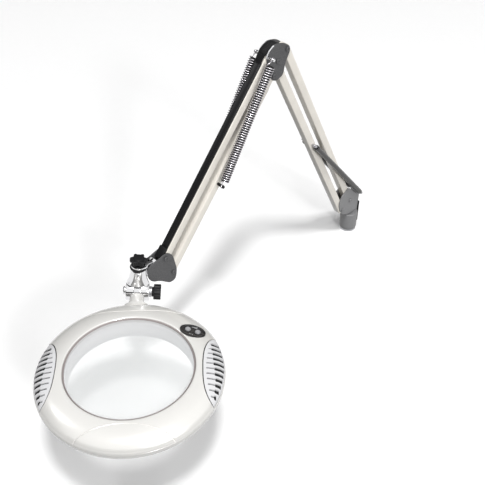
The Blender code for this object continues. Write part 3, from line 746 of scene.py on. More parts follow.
@dataclass
class GroovedPin:
    """Long pin with a groove near each end for a spring's hook.

    Attributes:
        reach: half its length.
        radius: radius of the pin.
        groove: radius in the groove.
    """

    reach: float
    radius: float = 2.5
    groove: float = 1.9

    def build(self, name: str, body: str, finish: Finish, slot: str) -> bpy.types.Object:
        """Spins the pin and puts it where the CAD pin is.

        Args:
            name: CAD node that it stands for.
            body: body that it rides on.
            finish: its finish.
            slot: the record's material slot.

        Returns:
            The pin.
        """
        end = arc(0.7, 90, 0, 3, (self.radius - 0.7, self.reach - 0.7))
        waist = [(self.radius, self.reach - 2.0), (self.groove, self.reach - 2.5)]
        waist += [(self.groove, self.reach - 4.9), (self.radius, self.reach - 5.4)]
        half = [(0.0, self.reach)] + end + waist
        obj = spun(name + "_turned", half + [(r, -z) for r, z in reversed(half)], 24)
        return fitted(obj, body, finish, slot, name, place=Matrix.Translation(centre_of(name)) @ SIDEWAYS)


@dataclass
class CoilSpring:
    """Close-wound tension spring with a hook round a pin at each end.

    Attributes:
        wire: radius of the wire.
        radius: radius of the coil's middle line.
        pitch: distance from turn to turn.
        lead: length of the straight hook at each end.
        loop: radius of the hooks.
    """

    wire: float = 0.95
    radius: float = 7.05
    pitch: float = 3.8
    lead: float = 9.5
    loop: float = 2.75

    def hook(self, end: float, sign: float) -> list[Vector]:
        """Points of a hook, from its free tip to where the coil starts.

        Args:
            end: place of the pin along the spring.
            sign: 1 where the coil lies above the pin, -1 where it lies below it.

        Returns:
            The points.
        """
        points = [Vector((0.0, -self.loop * math.cos(a), end + sign * self.loop * math.sin(a)))
                  for a in (math.radians(60 - 22 * k) for k in range(15))]
        points += [Vector((0.0, self.loop * 0.9, end + sign * (self.loop * 0.5 + 1.2))),
                   Vector((0.0, self.loop * 1.5, end + sign * (self.lead - 3.0)))]
        return points

    def path(self, length: float, steps: int = 16) -> list[Vector]:
        """The whole centre line, for a spring between two pins.

        Args:
            length: distance from pin to pin.
            steps: points on each turn.

        Returns:
            The points, from the pin at the origin to the pin at length.
        """
        run = length - 2 * self.lead
        turns = round(run / self.pitch)
        count = turns * steps
        coil = []
        for k in range(count + 1):
            angle = math.radians(90) + math.tau * k / steps
            height = self.lead + run * k / count
            coil.append(Vector((self.radius * math.cos(angle), self.radius * math.sin(angle), height)))
        return self.hook(0.0, 1.0) + coil + list(reversed(self.hook(length, -1.0)))

    def build(self, name: str, start: Vector, end: Vector, bodies: tuple[str, str]) -> bpy.types.Object:
        """Winds the spring between two pins that ride on different bodies.

        Args:
            name: CAD node that it stands for.
            start: first pin.
            end: second pin.
            bodies: body of each pin.

        Returns:
            The spring.
        """
        coil = wire(name + "_coil", self.path((end - start).length), self.wire)
        strung(coil, (start, end), bodies, SPRING_WIRE, angle=180.0)
        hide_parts(name)
        # Black sleeve inside the coil, painted shade seen through the gaps between the turns.
        self.shade_sleeve(name, start, end, bodies)
        return coil

    def shade_sleeve(self, name: str, start: Vector, end: Vector, bodies: tuple[str, str]) -> None:
        """Makes the black sleeve inside the coil: painted shade that darkens the gaps between the turns.

        Args:
            name: CAD node of the spring.
            start: first pin.
            end: second pin.
            bodies: body of each pin.
        """
        length = (end - start).length
        low, high, outer = self.lead + 0.5, length - self.lead - 0.5, self.radius - self.wire - 0.25
        rise = (high - low) / 40
        side = [(outer, low + rise * k) for k in range(41)]
        bore = [(outer - 1.0, height) for _, height in reversed(side)]
        strung(spun(name + "_damper", side + bore, 20), (start, end), bodies, PAINTED_SHADE_BLACK)


@dataclass
class SleevedSpring:
    """Tension spring inside a smooth sleeve, with only its hooks in sight.

    Attributes:
        radius: outer radius of the sleeve.
        wall: thickness of the sleeve.
        bare: length at each end that the sleeve leaves free.
    """

    radius: float = 4.85
    wall: float = 0.8
    bare: float = 4.2

    def sleeve(self, length: float) -> Outline:
        """Outline of the sleeve with rolled ends.

        Args:
            length: distance from pin to pin.

        Returns:
            The outline, as radius and height.
        """
        low, high = self.bare, length - self.bare
        outer, inner = self.radius, self.radius - self.wall
        steps = 40
        side = [(outer, low + 0.6 + (high - low - 1.2) * k / steps) for k in range(steps + 1)]
        bore = [(inner, height) for _, height in reversed(side)]
        return [(outer - 0.4, low)] + side + [(outer - 0.4, high), (inner, high)] + bore + [(inner, low)]

    def build(self, name: str, start: Vector, end: Vector, bodies: tuple[str, str]) -> None:
        """Makes the sleeve and the spring in it, both running from pin to pin.

        Args:
            name: CAD node that they stand for.
            start: first pin.
            end: second pin.
            bodies: body of each pin.
        """
        length = (end - start).length
        tube = spun(name + "_sleeve", self.sleeve(length), 28)
        coil = CoilSpring(wire=0.6, radius=3.2, pitch=6.0, lead=7.0, loop=2.6)
        inner = wire(name + "_coil", coil.path(length, 10), coil.wire, 1)
        strung(tube, (start, end), bodies, SLEEVE_RUBBER)
        strung(inner, (start, end), bodies, SPRING_WIRE)
        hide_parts(name)


@dataclass
class Bar:
    """Square tube between two pivots.

    Attributes:
        width: across the arm.
        depth: in the arm's plane.
        lug: half the depth of a narrowed end.
        corner: radius of the long edges.
    """

    width: float = 14.6
    depth: float = 14.4
    lug: float = 5.5
    corner: float = 1.7

    def outline(self, length: float, offset: float, lug_low: float, lug_high: float) -> Outline:
        """Side view of the bar, with rounded ends.

        Args:
            length: from pivot to pivot.
            offset: how far the tube lies to the side of the line of the pivots.
            lug_low: length of the narrowed lower end, or 0.
            lug_high: length of the narrowed upper end, or 0.

        Returns:
            Points in the arm's plane.
        """
        half = self.depth / 2
        low, high = (self.lug if lug_low else half), (self.lug if lug_high else half)
        low_y, high_y = (0.0 if lug_low else offset), (0.0 if lug_high else offset)
        points = arc(low, 180, 360, 16, (low_y, 0.0))
        if lug_low:
            points += [(self.lug, lug_low - 6.0), (offset + half, lug_low)]
        if lug_high:
            points += [(offset + half, length - lug_high), (self.lug, length - lug_high + 6.0)]
        points += arc(high, 0, 180, 16, (high_y, length))
        if lug_high:
            points += [(-self.lug, length - lug_high + 6.0), (offset - half, length - lug_high)]
        if lug_low:
            points += [(offset - half, lug_low), (-self.lug, lug_low - 6.0)]
        return points

    def build(self, name: str, body: str, start: Vector, end: Vector, offset: float = 0.0,
              lug_low: float = 0.0, lug_high: float = 0.0) -> bpy.types.Object:
        """Extrudes the bar, rounds it and drills its pivots.

        Args:
            name: CAD node that it stands for.
            body: body that it rides on.
            start: lower pivot.
            end: upper pivot.
            offset: how far the tube lies to the side of the line of the pivots.
            lug_low: length of the narrowed lower end, or 0.
            lug_high: length of the narrowed upper end, or 0.

        Returns:
            The bar.
        """
        length = (end - start).length
        shape = slab(name + "_tube", self.outline(length, offset, lug_low, lug_high),
                     -self.width / 2, self.width / 2)
        eased(shape, self.corner, 4, 50.0)
        for height in (0.0, length):
            hole = rod("hole", 2.9, -20.0, 20.0)
            cut(shape, shifted(hole, Matrix.Translation((0.0, height, 0.0))))
        return fitted(shape, body, CREAM_ENAMEL, "bar_enamel", name, place=arm_frame(start, end) @ SIDEWAYS)


@dataclass
class SidePlate:
    """One of a pair of cast plates, with a panel sunk into its outer face.

    Attributes:
        outline: corners in the arm's plane.
        corner: how far the corners are eased.
        inner: where the plate starts, from the middle of the arm.
        outer: where it ends.
        rim: width of the rim round the panel.
        depth: how far the panel is sunk.
    """

    outline: Outline
    corner: float
    inner: float = 7.7
    outer: float = 9.5
    rim: float = 1.8
    depth: float = 0.45

    def build(self, name: str, body: str, side: int, holes: list[Vector], finish: Finish,
              slot: str) -> bpy.types.Object:
        """Extrudes the plate, sinks its panel and drills it.

        Args:
            name: CAD node that it stands for.
            body: body that it rides on.
            side: 1 for the +X plate and -1 for the other.
            holes: places of its pins.
            finish: its finish.
            slot: the record's material slot.

        Returns:
            The plate.
        """
        low, high = sorted((side * self.inner, side * self.outer))
        plate = slab(name + "_cast", rounded(self.outline, self.corner), low, high)
        sunk(plate, (0, 0, side), self.rim, self.depth)
        eased(plate, 0.35, 3, 30.0)
        for hole in holes:
            cut(plate, shifted(rod("hole", 2.8, -20.0, 20.0), Matrix.Translation((hole.y, hole.z, 0.0))))
        return fitted(plate, body, finish, slot, name, place=SIDEWAYS)


# ------------------------------------------------------------------ the lamp

@dataclass
class Base:
    """Round socket that turns on a flanged post, with side plates for the lower bars.

    Attributes:
        radius: outer radius of the socket.
        low: underside of the socket.
        top: top of the round part.
        bore: radius of the bearing's room.
    """

    radius: float = 17.8
    low: float = 4.3
    top: float = 42.0
    bore: float = 10.1

    def socket(self) -> bpy.types.Object:
        """The socket, with the web that stands up between the plates.

        Returns:
            The socket.
        """
        foot = centre_of("spring_foot_pin")
        edge = arc(2.6, -90, 0, 5, (self.radius - 2.6, self.low + 2.6))
        lip = arc(1.2, 0, 90, 4, (self.radius - 1.2, self.top - 1.2))
        profile = [(0.0, self.top - 3.5), (self.bore, self.top - 3.5), (self.bore, self.low + 2.1)]
        profile += [(12.4, self.low + 2.1), (12.4, self.low)] + edge + lip + [(0.0, self.top)]
        socket = spun("socket", profile, 72)
        web = [(-16.0, 40.0), (16.5, 40.0), (17.6, 60.0), (foot.y + 6.0, 88.0), (foot.y + 1.0, 97.0)]
        web += [(foot.y - 6.0, 92.0), (2.0, 64.0), (-14.0, 54.0), (-16.5, 50.0)]
        standing = shifted(slab("web", rounded(web, 3.0), -7.4, 7.4), SIDEWAYS)
        combined(socket, eased(standing, 0.8), "UNION")
        hole = shifted(rod("hole", 2.8, -30.0, 30.0), Matrix.Translation(foot) @ SIDEWAYS)
        return fitted(cut(socket, hole), "turret", CAST_PAINT, "cast_base", "base_socket")

    def build(self) -> None:
        """Makes the base's pieces."""
        repaint("mounting_spigot", ZINC)
        repaint("base_bush", BRONZE)
        self.socket()
        cover = slab("rear_strip", [(18.1, 12.0), (19.6, 13.5), (19.6, 62.0), (18.1, 63.0)], -9.5, 9.5)
        fitted(eased(cover, 0.4, 2), "turret", BLACK_MOULDING, "rear_cover_black", "rear_cover", place=SIDEWAYS)
        outline = [(-20.0, 116.0), (14.0, 79.5), (13.5, 54.0), (-2.0, 42.6), (-30.0, 52.0)]
        outline += [(-41.0, 66.0), (-46.0, 86.0), (-41.0, 103.0)]
        plate = SidePlate(outline, 6.0, rim=2.2, depth=0.3)
        for side, name in ((-1, "base_plate_left"), (1, "base_plate_right")):
            plate.build(name, "turret", side, [BASE_FRONT, BASE_REAR], CAST_PAINT, "cast_plate")
        for name in ("base_front_pin", "base_rear_pin"):
            Pin().build(name, "turret", CAST_PAINT)
        GroovedPin(18.0).build("spring_foot_pin", "turret", ZINC, "pin_steel")


@dataclass
class LowerArm:
    """Front and rear bars from the base to the elbow, and the sleeved springs that lift them.

    Attributes:
        offset: how far the front tube lies in front of its pivots.
        lug: length of the front bar's narrowed top end.
        spacing: distance of each spring from the middle of the arm.
    """

    offset: float = -2.5
    lug: float = 34.0
    spacing: float = 14.6

    def build(self) -> None:
        """Makes the lower arm's pieces."""
        Bar().build("lower_front_bar", "lower_front", BASE_FRONT, ELBOW_FRONT, self.offset, 0.0, self.lug)
        Bar().build("lower_rear_bar", "lower_rear", BASE_REAR, ELBOW_REAR)
        GroovedPin(18.0).build("lower_spring_pin", "lower_front", ZINC, "pin_steel")
        foot, top = centre_of("spring_foot_pin"), centre_of("lower_spring_pin")
        for side, name in ((-1, "lower_spring_left"), (1, "lower_spring_right")):
            across = Vector((side * self.spacing, 0.0, 0.0))
            SleevedSpring().build(name, foot + across, top + across, ("turret", "lower_front"))


@dataclass
class Elbow:
    """Side plates where both arms meet, with the guard that leads the wires over the top.

    Attributes:
        guard_radius: outer radius of the guard.
        guard_wall: its thickness.
        guard_centre: centre of its curve in the arm's plane.
        ribs: cross ribs on the guard.
    """

    guard_radius: float = 24.0
    guard_wall: float = 2.5
    guard_centre: tuple[float, float] = (-242.0, 478.0)
    ribs: int = 16

    def guard(self) -> bpy.types.Object:
        """Curved ribbed strap between the plates.

        Returns:
            The strap.
        """
        outer = []
        for k in range(self.ribs * 4 + 1):
            radius = self.guard_radius - (0.55 if k % 4 == 2 else 0.0)
            outer += arc(radius, 52 + 98 * k / (self.ribs * 4), 0, 0, self.guard_centre)
        inner = arc(self.guard_radius - self.guard_wall, 150, 52, 24, self.guard_centre)
        strap = eased(slab("cable_guard", outer + inner, -7.4, 7.4), 0.4, 2, 60.0)
        return fitted(strap, "elbow", BLACK_MOULDING, "black_plastic", "elbow_cable_guard", place=SIDEWAYS)

    def boot(self) -> None:
        """Soft ribbed boot that bridges the guard and the wire channel."""
        along = (WRIST_TOP - ELBOW_TOP).normalized()
        out = Vector((0.0, along.z, -along.y))
        turn = math.radians(147)
        radius = self.guard_radius - 1.25
        first = Vector((0.0, self.guard_centre[0] + radius * math.cos(turn),
                        self.guard_centre[1] + radius * math.sin(turn)))
        last = ELBOW_TOP + along * 15.0 + out * 6.2
        middle = (first + last) / 2 + out * 1.6
        upper, lower = [], []
        steps = 28
        for k in range(steps + 1):
            t = k / steps
            point = first * (1 - t) ** 2 + middle * (2 * t * (1 - t)) + last * t ** 2
            slope = ((middle - first) * (1 - t) + (last - middle) * t).normalized()
            normal = Vector((0.0, slope.z, -slope.y))
            rib = 1.75 if k % 4 < 2 else 1.15
            upper.append((point.y + normal.y * rib, point.z + normal.z * rib))
            lower.append((point.y - normal.y * 1.1, point.z - normal.z * 1.1))
        boot = slab("wire_boot", upper + list(reversed(lower)), -6.6, 6.6)
        strung(boot, (first, last), ("elbow", "upper_top"), BLACK_MOULDING, 30.0, SIDEWAYS)

    def edge_highlights(self) -> None:
        """Painted highlight along the upper front edge of each plate: a thin silver strip that stands for the lit
        edge.
        """
        edge = [(-240.0, 501.4), (-246.5, 500.6), (-253.5, 496.0), (-259.0, 490.0), (-259.6, 485.5)]
        run = rounded(edge + [(-258.8, 481.0)], 2.0, 3)[4:-4]
        for side in (-1, 1):
            # Silver strip on the plate edge: a painted highlight where the edge catches the light.
            painted_highlight = wire("plate_edge_highlight", [Vector((side * 9.3, y, z)) for y, z in run], 0.95)
            painted_highlight.name = "plate_edge_highlight_left" if side < 0 else "plate_edge_highlight_right"
            fitted(painted_highlight, "elbow", VENT_SILVER, "bracket_chrome")

    def build(self) -> None:
        """Makes the elbow's pieces."""
        outline = [(-236.0, 502.0), (-246.0, 502.0), (-261.0, 491.0), (-257.0, 474.0), (-249.0, 446.0)]
        outline += [(-243.0, 439.5), (-236.0, 438.0), (-222.0, 442.0), (-217.0, 464.0), (-207.5, 480.0)]
        outline += [(-209.0, 489.0), (-221.0, 498.0)]
        plate = SidePlate(outline, 7.0)
        pins = [ELBOW_FRONT, ELBOW_REAR, ELBOW_LOW, ELBOW_TOP]
        for side, name in ((-1, "elbow_plate_left"), (1, "elbow_plate_right")):
            plate.build(name, "elbow", side, pins, GRAPHITE_COAT, "graphite")
        for name in ("elbow_front_pin", "elbow_rear_pin", "elbow_low_pin"):
            Pin().build(name, "elbow", GRAPHITE_COAT)
        GroovedPin(22.0).build("elbow_spring_pin", "elbow", CHROME, "bracket_chrome")
        self.guard()
        self.boot()
        # Painted highlights on the plates' upper front edges.
        self.edge_highlights()


@dataclass
class UpperArm:
    """Upper bars from the elbow to the wrist, the wire cover on top and the long coil springs.

    Attributes:
        offset: how far the top tube lies inside its pivots.
        spacing: distance of each spring from the middle of the arm.
        lug: length of the bottom bar's narrowed top end.
    """

    offset: float = -3.0
    spacing: float = 18.3
    lug: float = 24.0

    def wire_cover(self) -> None:
        """Channel with rolled edges along the top bar, and the block at its end."""
        place = arm_frame(ELBOW_TOP, WRIST_TOP)
        length = (WRIST_TOP - ELBOW_TOP).length
        base = self.offset + 7.2 + 0.3
        section = [(-6.7, 0.0), (6.7, 0.0), (6.7, 2.6), (5.9, 3.4), (3.4, 3.4), (2.9, 2.8)]
        section += [(-2.9, 2.8), (-3.4, 3.4), (-5.9, 3.4), (-6.7, 2.6)]
        raised = [(x, base + y) for x, y in section]
        cover = eased(slab("wire_channel", raised, 14.0, length - 17.0), 0.25, 2)
        fitted(cover, "upper_top", BLACK_MOULDING, "black_plastic", "wire_cover", place=place)
        block = [(-7.3, base), (7.3, base), (7.3, base + 6.0), (-7.3, base + 6.0)]
        end = eased(slab("wire_exit", block, length - 16.7, length + 4.0), 0.9, 3)
        hole = rod("hole", 2.0, 0.0, 12.0)
        cut(end, shifted(hole, Matrix.Translation((0.0, base + 3.0, length - 4.0))))
        fitted(end, "upper_top", BLACK_MOULDING, "black_plastic", "wire_cover_end", place=place)

    def build(self) -> None:
        """Makes the upper arm's pieces."""
        Bar().build("upper_bottom_bar", "upper_bottom", ELBOW_LOW, WRIST_LOW, 0.0, self.lug, 0.0)
        Bar().build("upper_top_bar", "upper_top", ELBOW_TOP, WRIST_TOP, self.offset)
        self.wire_cover()
        GroovedPin(22.0).build("upper_spring_pin", "upper_bottom", BLACK_MOULDING, "black_plastic")
        anchor = centre_of("upper_spring_pin")
        for side, name in ((-1, "upper_spring_left"), (1, "upper_spring_right")):
            across = Vector((side * self.spacing, 0.0, 0.0))
            CoilSpring().build(name, ELBOW_TOP + across, anchor + across, ("elbow", "upper_bottom"))


@dataclass
class Wrist:
    """Covers at the end of the upper arm and the chrome bracket that the head hangs from.

    Attributes:
        tongue_low: underside of the tongue, above the tilt axis.
        tongue: thickness of the tongue.
    """

    tongue_low: float = 50.6
    tongue: float = 3.0

    def bracket(self) -> bpy.types.Object:
        """Chrome block between the covers, with its tongue on the swivel axis.

        Returns:
            The bracket.
        """
        block = [(-497.0, 211.3), (-508.0, 208.9), (-517.0, 206.5), (-516.5, 186.0), (-509.5, 175.5)]
        block += [(-497.5, 170.0), (-494.0, 180.0), (-496.0, 205.0)]
        bracket = shifted(slab("hanger", rounded(block, 3.0), -7.4, 7.4), SIDEWAYS)
        lean = frame_at(TILT_POINT, axis_of("head_swivel"), Vector((1, 0, 0)))
        outline = arc(12.0, 180, 360, 24) + [(12.0, 6.0), (7.4, 14.0), (7.4, 24.0), (-7.4, 24.0)]
        outline += [(-7.4, 14.0), (-12.0, 6.0)]
        tongue = slab("tongue", outline, self.tongue_low, self.tongue_low + self.tongue)
        combined(bracket, shifted(tongue, lean), "UNION")
        eased(bracket, 0.5, 3)
        cut(bracket, shifted(rod("hole", 4.3, 30.0, 80.0), lean))
        slot = arc(2.0, 0, 180, 8, (0.0, 4.0)) + arc(2.0, 180, 360, 8, (0.0, -4.0))
        cut(bracket, shifted(slab("slot", slot, 190.0, 230.0), Matrix.Translation((0.0, -505.0, 0.0))))
        return fitted(bracket, "wrist", CHROME, "bracket_chrome", "wrist_bracket")

    def build(self) -> None:
        """Makes the wrist's pieces."""
        outline = [(-519.0, 206.5), (-503.0, 209.5), (-478.0, 216.5), (-466.5, 205.0), (-459.5, 169.0)]
        outline += [(-464.0, 150.0), (-476.0, 148.5), (-496.0, 165.5), (-511.0, 172.5), (-518.5, 184.0)]
        cover = SidePlate(outline, 9.0)
        for side, name in ((-1, "wrist_cover_left"), (1, "wrist_cover_right")):
            cover.build(name, "wrist", side, [WRIST_LOW, WRIST_TOP], GRAPHITE_COAT, "graphite")
        for name in ("wrist_low_pin", "wrist_top_pin"):
            Pin().build(name, "wrist", GRAPHITE_COAT)
        self.bracket()


@dataclass
class HeadJoint:
    """Chrome yoke that turns on the swivel axis, with its knobs and washers.

    Attributes:
        ear: radius of the ears about the tilt axis.
        ear_outer: half the width over the ears.
        ear_inner: half the room between them.
        knob_low: underside of the star knob above the tilt axis.
        lobes: lobes of the star knob.
        flutes: flutes of the tilt knob.
    """

    ear: float = 15.5
    ear_outer: float = 19.0
    ear_inner: float = 6.2
    knob_low: float = 55.6
    lobes: int = 6
    flutes: int = 12

    def yoke(self) -> None:
        """Hub and ears in one casting."""
        profile = [(0.0, 10.0), (10.5, 10.0), (13.6, 14.4), (18.2, 17.0), (18.6, 17.6), (18.2, 19.0)]
        profile += [(16.2, 22.6), (14.4, 29.0), (12.9, 37.0), (12.1, 45.6), (11.3, 47.2), (0.0, 47.2)]
        hub = spun("yoke_casting", profile, 72)
        for vertex in hub.data.vertices:
            vertex.co.y *= 0.66 + 0.34 * min(1.0, max(0.0, (vertex.co.z - 18.0) / 24.0))
        edge = arc(1.6, 0, 90, 4, (self.ear - 1.6, self.ear_outer - 1.6))
        lower = [(radius, -height) for radius, height in reversed(edge)]
        band = [(self.ear, 7.6), (self.ear, 7.0), (self.ear, -7.0), (self.ear, -7.6)]
        ears = spun("ears", [(0.0, self.ear_outer)] + list(reversed(edge)) + band + list(reversed(lower))
                    + [(0.0, -self.ear_outer)], 72)
        combined(hub, shifted(ears, SIDEWAYS), "UNION")
        room = [(-self.ear_inner, -30.0), (self.ear_inner, -30.0), (self.ear_inner, 30.0), (-self.ear_inner, 30.0)]
        cut(hub, slab("room", room, -30.0, self.ear + 1.2))
        cut(hub, shifted(rod("hole", 4.3, -30.0, 30.0), SIDEWAYS))
        cut(hub, rod("hole", 4.3, 20.0, 60.0))
        side = Matrix.Translation((0.0, 0.0, 41.0)) @ Matrix.Rotation(math.radians(90), 4, "X")
        cut(hub, shifted(rod("hole", 2.2, 8.0, 20.0), side))
        fitted(clean(hub), "yoke", CHROME, "bracket_chrome", "yoke", place=YOKE_FRAME, angle=28.0)
        screw = spun("grub_screw", [(0.0, 9.0), (1.9, 9.0), (1.9, 11.7), (1.6, 12.0), (1.0, 12.0), (1.0, 11.0),
                                    (0.0, 11.0)], 24)
        fitted(screw, "yoke", ZINC, "pin_steel", "yoke_set_screw", place=YOKE_FRAME @ side)

    def washers(self) -> None:
        """Black collar under the tongue, washer over it, and the steel washers of the tilt bolt."""
        collar = eased(spun("collar", [(4.4, 47.5), (13.5, 47.5), (13.5, 50.3), (4.4, 50.3)], 48), 0.5, 3)
        fitted(collar, "yoke", BLACK_MOULDING, "black_plastic", "swivel_collar", place=YOKE_FRAME)
        upper = eased(spun("friction_washer", [(4.4, 53.9), (11.0, 53.9), (11.0, 55.3), (4.4, 55.3)], 48), 0.3, 2)
        fitted(upper, "star_knob", BLACK_MOULDING, "black_plastic", "knob_washer", place=YOKE_FRAME)
        steel = [(4.3, 19.3), (9.0, 19.3), (9.0, 20.8), (8.2, 21.0), (9.0, 21.2), (9.0, 22.7), (4.3, 22.7)]
        fitted(spun("spring_washers", steel, 48), "yoke", ZINC, "pin_steel", "tilt_washer",
               place=YOKE_FRAME @ SIDEWAYS)

    def star_knob(self) -> None:
        """Lobed clamping knob with its stud."""
        low = self.knob_low
        outline = lobed(12.0, 2.1, self.lobes, 120)
        knob = eased(slab("star_grip", outline, low + 2.5, low + 11.0), 1.5, 4, 60.0)
        boss = [(0.0, low), (7.6, low), (8.0, low + 0.4), (8.0, low + 4.0), (0.0, low + 4.0)]
        combined(knob, spun("boss", boss, 48), "UNION")
        cap = [(0.0, low + 10.0), (9.2, low + 10.0), (9.2, low + 11.6), (8.4, low + 12.4), (0.0, low + 12.8)]
        combined(knob, spun("cap", cap, 48), "UNION")
        combined(knob, rod("stud", 4.0, 25.0, low + 2.0), "UNION")
        fitted(knob, "star_knob", BLACK_MOULDING, "black_plastic", "star_knob", place=YOKE_FRAME)

    def tilt_knob(self) -> None:
        """Fluted knob on the end of the tilt bolt."""
        knob = eased(slab("fluted_grip", lobed(12.25, 0.6, self.flutes, 144), 26.0, 38.0), 1.4, 4, 60.0)
        collar = [(0.0, 23.0), (7.7, 23.0), (8.0, 23.4), (8.5, 27.0), (0.0, 27.0)]
        combined(knob, spun("boss", collar, 48), "UNION")
        cut(knob, rod("hole", 4.2, 20.0, 34.0))
        place = YOKE_FRAME @ SIDEWAYS
        fitted(knob, "tilt_knob", BLACK_MOULDING, "black_plastic", "tilt_knob", place=place)
        low = -self.ear_outer - 0.3
        bolt = [(0.0, low - 4.0), (5.6, low - 4.0), (6.5, low - 3.3), (6.8, low - 2.4), (6.8, low), (3.9, low)]
        bolt += [(3.9, 33.0), (0.0, 33.0)]
        fitted(spun("tilt_screw", bolt, 40), "tilt_knob", CHROME, "bracket_chrome", "tilt_bolt", place=place)

    def build(self) -> None:
        """Makes the head joint's pieces."""
        self.yoke()
        self.washers()
        self.star_knob()
        self.tilt_knob()


@dataclass
class Head:
    """Round head: two shells round a large lens, a light ring beneath, vents and a control pad.

    Attributes:
        radius: radius of the widest rim.
        opening: radius where the upper shell starts.
        crown: height of the shell at the opening.
        wall: thickness of the shells.
        vent_x: distance of the vents' centre from the lens axis.
        vent_y: how far the vents sit in front of the lens axis.
        vent_half: half sizes of a vent's outline.
        lens_radius: radius of the lens.
        louvres: slots in each vent.
        louvre_pitch: distance from slot to slot.
        chips: lamps on the light board.
        chip_ring: radius of their ring.
        steps: parts of a full turn.
    """

    radius: float = 140.0
    opening: float = 96.5
    crown: float = 19.5
    wall: float = 2.4
    vent_x: float = 141.0
    vent_y: float = -7.0
    vent_half: tuple[float, float] = (34.0, 67.0)
    lens_radius: float = 94.2
    louvres: int = 11
    louvre_pitch: float = 9.6
    chips: int = 60
    chip_ring: float = 112.0
    steps: int = 200

    def height(self, radius: float) -> float:
        """Height of the upper shell's outside at a radius."""
        t = (radius - self.opening) / (self.radius - self.opening)
        return self.crown * math.sqrt(max(0.0, 1.0 - max(0.0, t) ** 2.3))

    def surface(self, inner: float, outer: float, count: int, drop: float = 0.0) -> Outline:
        """Points along the shell, closer together near the rim.

        Args:
            inner: first radius.
            outer: last radius.
            count: parts of the run.
            drop: how far below the surface it runs.

        Returns:
            The points, as radius and height.
        """
        points = []
        for k in range(count + 1):
            t = math.sin(math.radians(90) * k / count)
            radius = inner + (outer - inner) * t
            points.append((radius, self.height(radius) - drop))
        return points

    def groove(self, name: str, reach: float, y_of: Callable[[float], float]) -> bpy.types.Object:
        """Fine round cutter that follows the shell's surface along a curve.

        Args:
            name: the cutter's name.
            reach: how far the curve goes to each side.
            y_of: gives the curve's place along Y for a place along X.

        Returns:
            The cutter.
        """
        points = []
        for k in range(61):
            x = reach * (k / 30 - 1)
            y = y_of(x)
            points.append(Vector((x, y, self.height(math.hypot(x, y)))))
        return wire(name, points, 1.1)

    def vent_column(self, side: int, grow: float, low: float = -6.0, high: float = 30.0) -> bpy.types.Object:
        """Upright column with a vent's outline, used to cut the shell and the grille.

        Args:
            side: 1 for the +X side of the head and -1 for the other.
            grow: how much wider than the vent it is, all round.
            low: height of its foot.
            high: height of its top.

        Returns:
            The column.
        """
        outline = oval(self.vent_half[0] + grow, self.vent_half[1] + grow, 96, 0.75,
                       (side * self.vent_x, self.vent_y))
        return slab("vent_column", outline, low, high)

    def pad_place(self) -> Matrix:
        """Frame of the control pad, which leans with the shell.

        Returns:
            The frame, with Z along the keys' travel.
        """
        keys = (centre_of("power_key") + centre_of("brightness_key")) / 2
        slide = -axis_of("power_key_press")
        across = centre_of("brightness_key") - centre_of("power_key")
        return frame_at(keys - slide * 0.8, slide, across)

    def upper_shell(self) -> None:
        """Domed shell with a rolled lip round the lens, openings for the vents and a seat for the pad."""
        lip = [(self.opening + 2.4, 15.0), (self.opening + 2.4, 11.0), (self.opening, 11.0)]
        lip += [(self.opening, 17.6), (self.opening + 0.4, 18.8), (self.opening + 1.4, 19.4)]
        outer = self.surface(self.opening + 2.2, self.radius, 46)
        bottom = [(self.radius, -0.4), (self.radius - 0.4, -0.8), (self.radius - self.wall, -0.8)]
        inner = [(r - self.wall * 0.8, max(0.0, h - self.wall)) for r, h in reversed(outer[6:-2:3])]
        shell = spun("top_shell", lip + outer + bottom + inner, self.steps)
        cut(shell, self.groove("front_groove", 76.0, lambda x: -102.0 - 0.0042 * x * x))
        cut(shell, self.groove("rear_groove", 74.0, lambda x: 112.5 - 0.0036 * max(0.0, abs(x) - 30.0) ** 1.85))
        for side in (-1, 1):
            cut(shell, self.vent_column(side, 0.9))
        seat = slab("seat", oval(20.9, 12.9, 72), -1.7, 6.0)
        cut(shell, shifted(seat, HEAD_FRAME.inverted() @ self.pad_place()))
        fitted(shell, "head", PEARL_SHELL, "pearl_plastic", "upper_shell", place=HEAD_FRAME)

    def neck(self) -> None:
        """Round neck that flares where it grows out of the shells."""
        start, root = 16.8, NECK_REACH - self.radius
        profile = [(6.0, start), (11.2, start), (11.8, start + 0.6), (11.8, root - 14.0)]
        profile += [(11.8 + 8.5 * (1 - math.cos(math.radians(a))), root - 14.0 + 15.0 * math.sin(math.radians(a)))
                    for a in range(10, 91, 10)]
        profile += [(20.3, root + 8.0), (6.0, root + 8.0)]
        neck = spun("neck_root", profile, 72)
        for vertex in neck.data.vertices:
            spread = math.hypot(vertex.co.x, vertex.co.y)
            if spread > 11.8:
                vertex.co.y *= (11.8 + (spread - 11.8) * 0.12) / spread
        back = Matrix.Translation((0.0, NECK_REACH, 0.0)) @ Matrix.Rotation(math.radians(90), 4, "X")
        fitted(neck, "head", PEARL_SHELL, "pearl_plastic", place=HEAD_FRAME @ back)

    def knuckle(self) -> None:
        """Chrome knuckle on the tilt axis, with the shank that the neck slides over."""
        reach, radius = 5.8, 15.2
        disc = eased(spun("knuckle", [(0.0, -reach), (radius, -reach), (radius, reach), (0.0, reach)], 72), 0.5, 3)
        shifted(disc, SIDEWAYS)
        shank = shifted(rod("shank", 5.6, 10.0, 44.0, 40), Matrix.Rotation(math.radians(90), 4, "X"))
        combined(disc, shank, "UNION")
        cut(disc, shifted(rod("hole", 4.3, -30.0, 30.0), SIDEWAYS))
        back = (HEAD_FRAME.to_3x3() @ Vector((0, 1, 0))).normalized()
        tilt = axis_of("head_tilt")
        place = frame_at(TILT_POINT, tilt.cross(back), tilt)
        fitted(disc, "head", CHROME, "bracket_chrome", "neck_knuckle", place=place)

